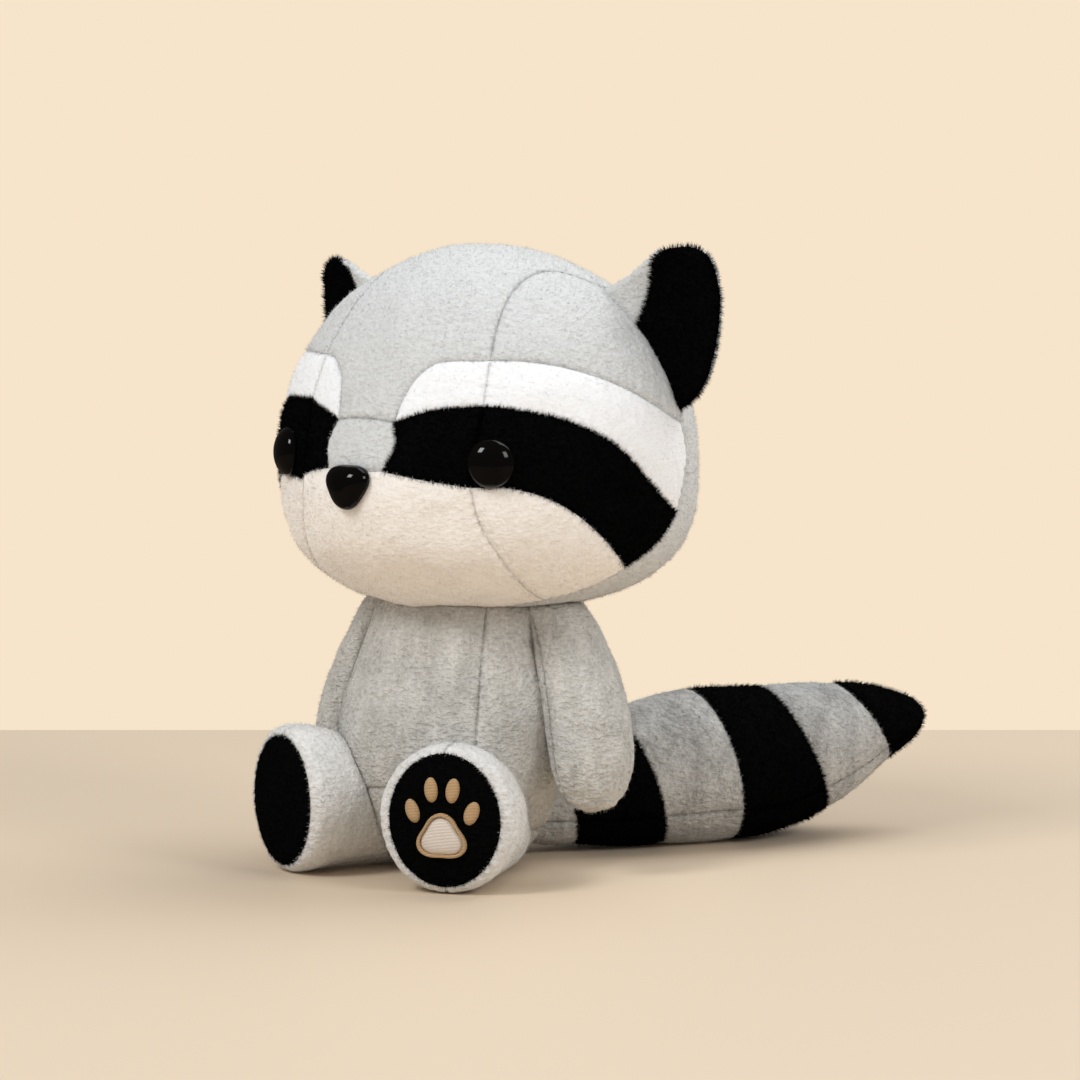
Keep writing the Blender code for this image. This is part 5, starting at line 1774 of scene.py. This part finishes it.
@dataclass
class PawPrint:
    """A paw print in satin stitch on one sole: a cream pad edged in gold, and four gold toes.

    Places and sizes are shares of the sole's half width and half height, from its middle. A toe is
    a place and a tilt.
    """

    sole: Leg
    pad: tuple[float, float] = (0.0, -0.24)
    pad_size: tuple[float, float] = (0.42, 0.33)
    pad_corners: float = 0.13
    edge_width: float = 0.17
    toes: tuple = (
        (-0.52, 0.14, 0.45), (-0.19, 0.46, 0.15), (0.19, 0.46, -0.15), (0.52, 0.14, -0.45)
    )
    toe_size: tuple[float, float] = (0.125, 0.19)
    foot: float = -0.0004
    height: float = 0.0019
    turns: int = 73
    rings: int = 20
    edge_rings: int = 13
    uv_scale: float = 20.0

    def pad_outline(self, turn: Array, inner: float = 1.0) -> Array:
        """The pad's edge: a rounded triangle, whose radius is 1 + corners * cos 3t."""
        radius = (1 + self.pad_corners * np.cos(3 * turn)) * inner
        return np.stack([radius * np.sin(turn), radius * np.cos(turn)], -1) * self.pad_size

    def toe_outline(self, turn: Array, tilt: float) -> Array:
        """A toe's edge: an ellipse turned by its tilt.

        Args:
            turn: Angles round the toe.
            tilt: How far it is turned.

        Returns:
            The places, from the toe's middle.
        """
        x, y = np.sin(turn) * self.toe_size[0], np.cos(turn) * self.toe_size[1]
        c, s = math.cos(tilt), math.sin(tilt)
        return np.stack([x * c - y * s, x * s + y * c], -1)

    def stitches(self, middle: tuple[float, float], outline: Array, inner: float = 0.0) -> Pair:
        """A domed patch of stitches inside an outline, or a band along it.

        Each ring is the outline shrunk by a share. The stitches rise from their foot by the height
        times sqrt(1 - q^4), where q goes from 0 along the patch's or the band's middle to 1 at its
        edges.

        Args:
            middle: The patch's middle on the sole.
            outline: Its edge round that middle, with the last point on the first.
            inner: Share of the outline at which a band starts, or 0 for a whole patch.

        Returns:
            The points and the triangles.
        """
        ring = np.linspace(inner, 1, self.edge_rings if inner else self.rings)
        q = np.abs(2 * (ring - inner) / (1 - inner) - 1) if inner else ring
        x, y = np.moveaxis(np.asarray(middle) + ring[:, None, None] * outline, -1, 0)
        points, normals = self.sole.sole_point(np.arctan2(x, y), np.hypot(x, y))
        rise = self.foot + self.height * np.sqrt(np.clip(1 - q**4, 0, 1))
        points = points + normals * rise[:, None, None]
        numbers = numbered(x.shape, True, [] if inner else [0])
        return points.reshape(-1, 3), grid_triangles(numbers)

    def sewn(self, name: str, patches: list[Pair], finish: ThreadFinish) -> None:
        """One piece of thread from several patches, which stands for its sole too.

        Args:
            name: The piece's name.
            patches: Points and triangles of each patch.
            finish: Its thread.
        """
        counts = np.cumsum([0, *(len(points) for points, _ in patches)])
        points = np.concatenate([points for points, _ in patches])
        triangles = np.concatenate([faces + count for (_, faces), count in zip(patches, counts)])
        outward = self.sole.sole_point(np.zeros(1), np.zeros(1))[1][0]
        triangles = facing_out(triangles, crossed(points, triangles), outward)
        uv = 0.5 + (points[:, [0, 2]] - points[:, [0, 2]].mean(0)) * self.uv_scale
        piece = mesh_of(name, points, triangles, uv)
        piece.data.materials.append(finish.material(name))
        settle(piece, f"sole_{self.sole.word}")

    def build(self) -> None:
        """Makes the cream pad, and the gold edge and toes."""
        turn = np.linspace(0, 2 * math.pi, self.turns)
        inner = 1 - self.edge_width
        pad = self.stitches(self.pad, self.pad_outline(turn, inner + self.edge_width / 4))
        edge = self.stitches(self.pad, self.pad_outline(turn), inner)
        toes = [self.stitches((x, y), self.toe_outline(turn, tilt)) for x, y, tilt in self.toes]
        self.sewn("paw_print_pad", [pad], CREAM_THREAD)
        self.sewn("paw_print_gold", [edge, *toes], GOLD_THREAD)


@dataclass
class Tail:
    """The tail lies on the floor, fattest at its middle, and lifts to its pointed tip.

    Each station gives shares: of the length, of the full half width, and of the half width again
    for the height of its axis.
    """

    root: tuple[float, float] = (0.000, 0.031)
    heading: float = 30.0
    length: float = 0.1466
    half_width: float = 0.0245
    rings: tuple[float, ...] = (0.0, 0.089, 0.278, 0.471, 0.660, 0.849)
    ring_slant: float = 0.0055
    seam_turn: float = 2 * math.pi / 3
    panel_round: float = 0.150
    shortest: float = 0.001
    stations: tuple = (
        (0.0, 0.673, 0.816),
        (0.103, 0.735, 0.816),
        (0.265, 0.906, 0.914),
        (0.42, 1.0, 1.0),
        (0.56, 0.985, 1.02),
        (0.66, 0.91, 1.114),
        (0.76, 0.765, 1.257),
        (0.85, 0.58, 1.40),
        (0.93, 0.36, 1.47),
        (0.98, 0.16, 1.494),
        (1.0, 0.0, 1.498),
    )

    def form(self) -> Limb:
        """The tail's form.

        Returns:
            The form, round in section.
        """
        at, share, rise = np.array(self.stations).T
        at, half = self.length * at, self.half_width * share
        heading = math.radians(self.heading)
        level = np.outer(at, (math.sin(heading), math.cos(heading))) + self.root
        return Limb(np.column_stack([level, self.half_width * rise]), at, half, half, Stance.LYING)

    def slant(self, turn: Array, edge: float, edges: Array) -> Array:
        """How far a ring's seam leans towards the body at each angle round the tail."""
        return self.ring_slant * np.cos(turn) * np.interp(edge, edges[[0, 1, -2, -1]], (0, 1, 1, 0))

    def build(self) -> None:
        """Makes the bands, each closed by the seam along the tail.

        A ring's seam leans: its place along the tail drops by the slant times the cosine of the
        turn, and the slant fades out at the tail's two ends.
        """
        form = self.form()
        edges = self.length * np.array([*self.rings, 1.0])
        middle = (f"tail_ring_{k}" for k in range(1, len(self.rings) - 1))
        names = ["tail_root", *middle, "tail_tip"]
        turn = self.seam_turn + np.linspace(0, 2 * math.pi, steps(self.panel_round))
        hidden = form.emerges(turn, BODY.level)
        for k, name in enumerate(names):
            low, high = (edge - self.slant(turn, edge, edges) for edge in edges[k : k + 2])
            low = np.maximum(low, np.minimum(hidden, high - self.shortest))
            rows = np.linspace(0, 1, steps(edges[k + 1] - edges[k]))[:, None]
            grid = form.surface(turn + 0 * rows, low + (high - low) * rows)
            finish, fibres = (BLACK_PILE, DARK_FIBRES) if k % 2 else (TAIL_PILE, Fibres())
            Panel(name, *grid, finish, nap=form.along(low + 0 * rows), fibres=fibres).build()


# Stage


@dataclass(frozen=True)
class Stage:
    """The floor, the light and the camera.

    A lamp is placed from the target by distances towards the camera, to the right and up.
    """

    azimuth: float = 38.0
    target: tuple[float, float, float] = (0.022, 0.0172, 0.1025)
    distance: float = 1.430
    eye_height: float = 0.243
    lens: float = 153.0
    sensor: float = 36.0
    floor_roughness: float = 0.6
    floor_half: float = 0.9
    floor_behind: float = 0.304
    lamps: tuple = (
        ("key", (0.8, -0.9, 1.1), 0.45, 12.5),
        ("fill", (0.9, 1.1, 0.8), 0.5, 7.0),
        ("back", (-0.5, 0.6, 1.2), 1.0, 10.0),
    )
    lamp_colour: Colour = (0.95, 0.98, 1.0)
    sky: Colour = (0.98, 0.985, 1.0)
    sky_strength: float = 0.55
    sky_mirrored: Colour = (0.07, 0.065, 0.06)
    wall: Colour = (0.93, 0.78, 0.595)
    ground: Colour = (0.70, 0.56, 0.41)
    ground_mirrored: Colour = (0.16, 0.11, 0.07)

    def axes(self) -> Pair:
        """Level directions from the toy to the camera and to the picture's right."""
        a = math.radians(self.azimuth)
        return np.array([math.sin(a), -math.cos(a), 0.0]), np.array([math.cos(a), math.sin(a), 0.0])

    def aim(self, name: str, data: bpy.types.ID, offset: Array) -> bpy.types.Object:
        """Puts a new camera or lamp at an offset from the target and turns it towards it.

        Args:
            name: The object's name.
            data: The camera or the lamp.
            offset: Where it goes, from the target.

        Returns:
            The object.
        """
        target = np.array(self.target)
        holder = bpy.data.objects.new(name, data)
        holder.location = place = target + offset
        holder.rotation_euler = Vector(target - place).to_track_quat("-Z", "Y").to_euler()
        bpy.context.scene.collection.objects.link(holder)
        return holder

    def build(self) -> None:
        """Makes the camera, the lamps, the world and the floor."""
        toward, right = self.axes()
        rise = self.eye_height - self.target[2]
        camera = bpy.data.cameras.new("camera")
        camera.lens, camera.sensor_width = self.lens, self.sensor
        flat = math.sqrt(self.distance**2 - rise**2)
        bpy.context.scene.camera = self.aim("camera", camera, toward * flat + [0, 0, rise])
        for name, (ahead, aside, up), size, watts in self.lamps:
            lamp = bpy.data.lights.new(name, "AREA")
            lamp.size, lamp.energy, lamp.color = size, watts, self.lamp_colour
            self.aim(name, lamp, toward * ahead + right * aside + [0, 0, up])
        self.world()
        self.floor(toward, right)

    def world(self) -> None:
        """An even pale sky: a cream wall to the camera, and dim in reflections."""
        world = bpy.data.worlds.new("studio")
        bpy.context.scene.world = world
        world.use_nodes = True
        tree = world.node_tree
        sky = {"Color": (*self.sky, 1), "Strength": self.sky_strength}
        before = feed(tree, tree.nodes["Background"], sky).outputs[0]
        path = added(tree, "LightPath")
        for ray, colour in (("Is Glossy Ray", self.sky_mirrored), ("Is Camera Ray", self.wall)):
            seen = added(tree, "Background", {"Color": (*colour, 1)}).outputs[0]
            mix = added(tree, "MixShader", {"Fac": path.outputs[ray], 1: before, 2: seen})
            before = mix.outputs[0]
        feed(tree, tree.nodes["World Output"], {"Surface": before})

    def floor(self, toward: Array, right: Array) -> None:
        """A pale floor that ends a little behind the toy, and looks darker in reflections.

        Args:
            toward: Level direction to the camera.
            right: Level direction to the picture's right.
        """
        under = np.array([self.target[0], self.target[1], 0.0])
        near, far = under + toward * self.floor_half, under - toward * self.floor_behind
        aside = right * self.floor_half
        corners = np.stack([near - aside, near + aside, far + aside, far - aside])
        uv = np.array([[0, 0], [1, 0], [1, 1], [0, 1]], float)
        floor = mesh_of("floor", corners, np.array([[0, 1, 2], [0, 2, 3]]), uv)
        material, tree, shader = blank("pale_floor")
        glossy = added(tree, "LightPath").outputs["Is Glossy Ray"]
        tone = ramp(tree, glossy, (0.0, self.ground), (1.0, self.ground_mirrored))
        feed(tree, shader, {"Base Color": tone, "Roughness": self.floor_roughness})
        floor.data.materials.append(material)


def main() -> None:
    """Builds the toy's sub-assemblies in order."""
    logging.basicConfig(level=logging.INFO, format="%(message)s")
    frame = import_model()
    LOG.info("dressing %d solids", len(frame["nodes"]))
    Head().build()
    Features().build()
    Body().build()
    for word in SIDES:
        Ear(word, *EAR_SET[word]).build()
        Arm(word).build()
        Leg(word).build()
    PawPrint(Leg("left")).build()
    Tail().build()
    for name, solid in frame["nodes"].items():
        if "stuffing" in name or "washer" in name:
            finish = STUFFING if "stuffing" in name else WASHER
            solid.material_slots[0].material = finish.material(name)
    Stage().build()
    bpy.context.scene.view_settings.view_transform = "Standard"


if __name__ == "__main__":
    main()
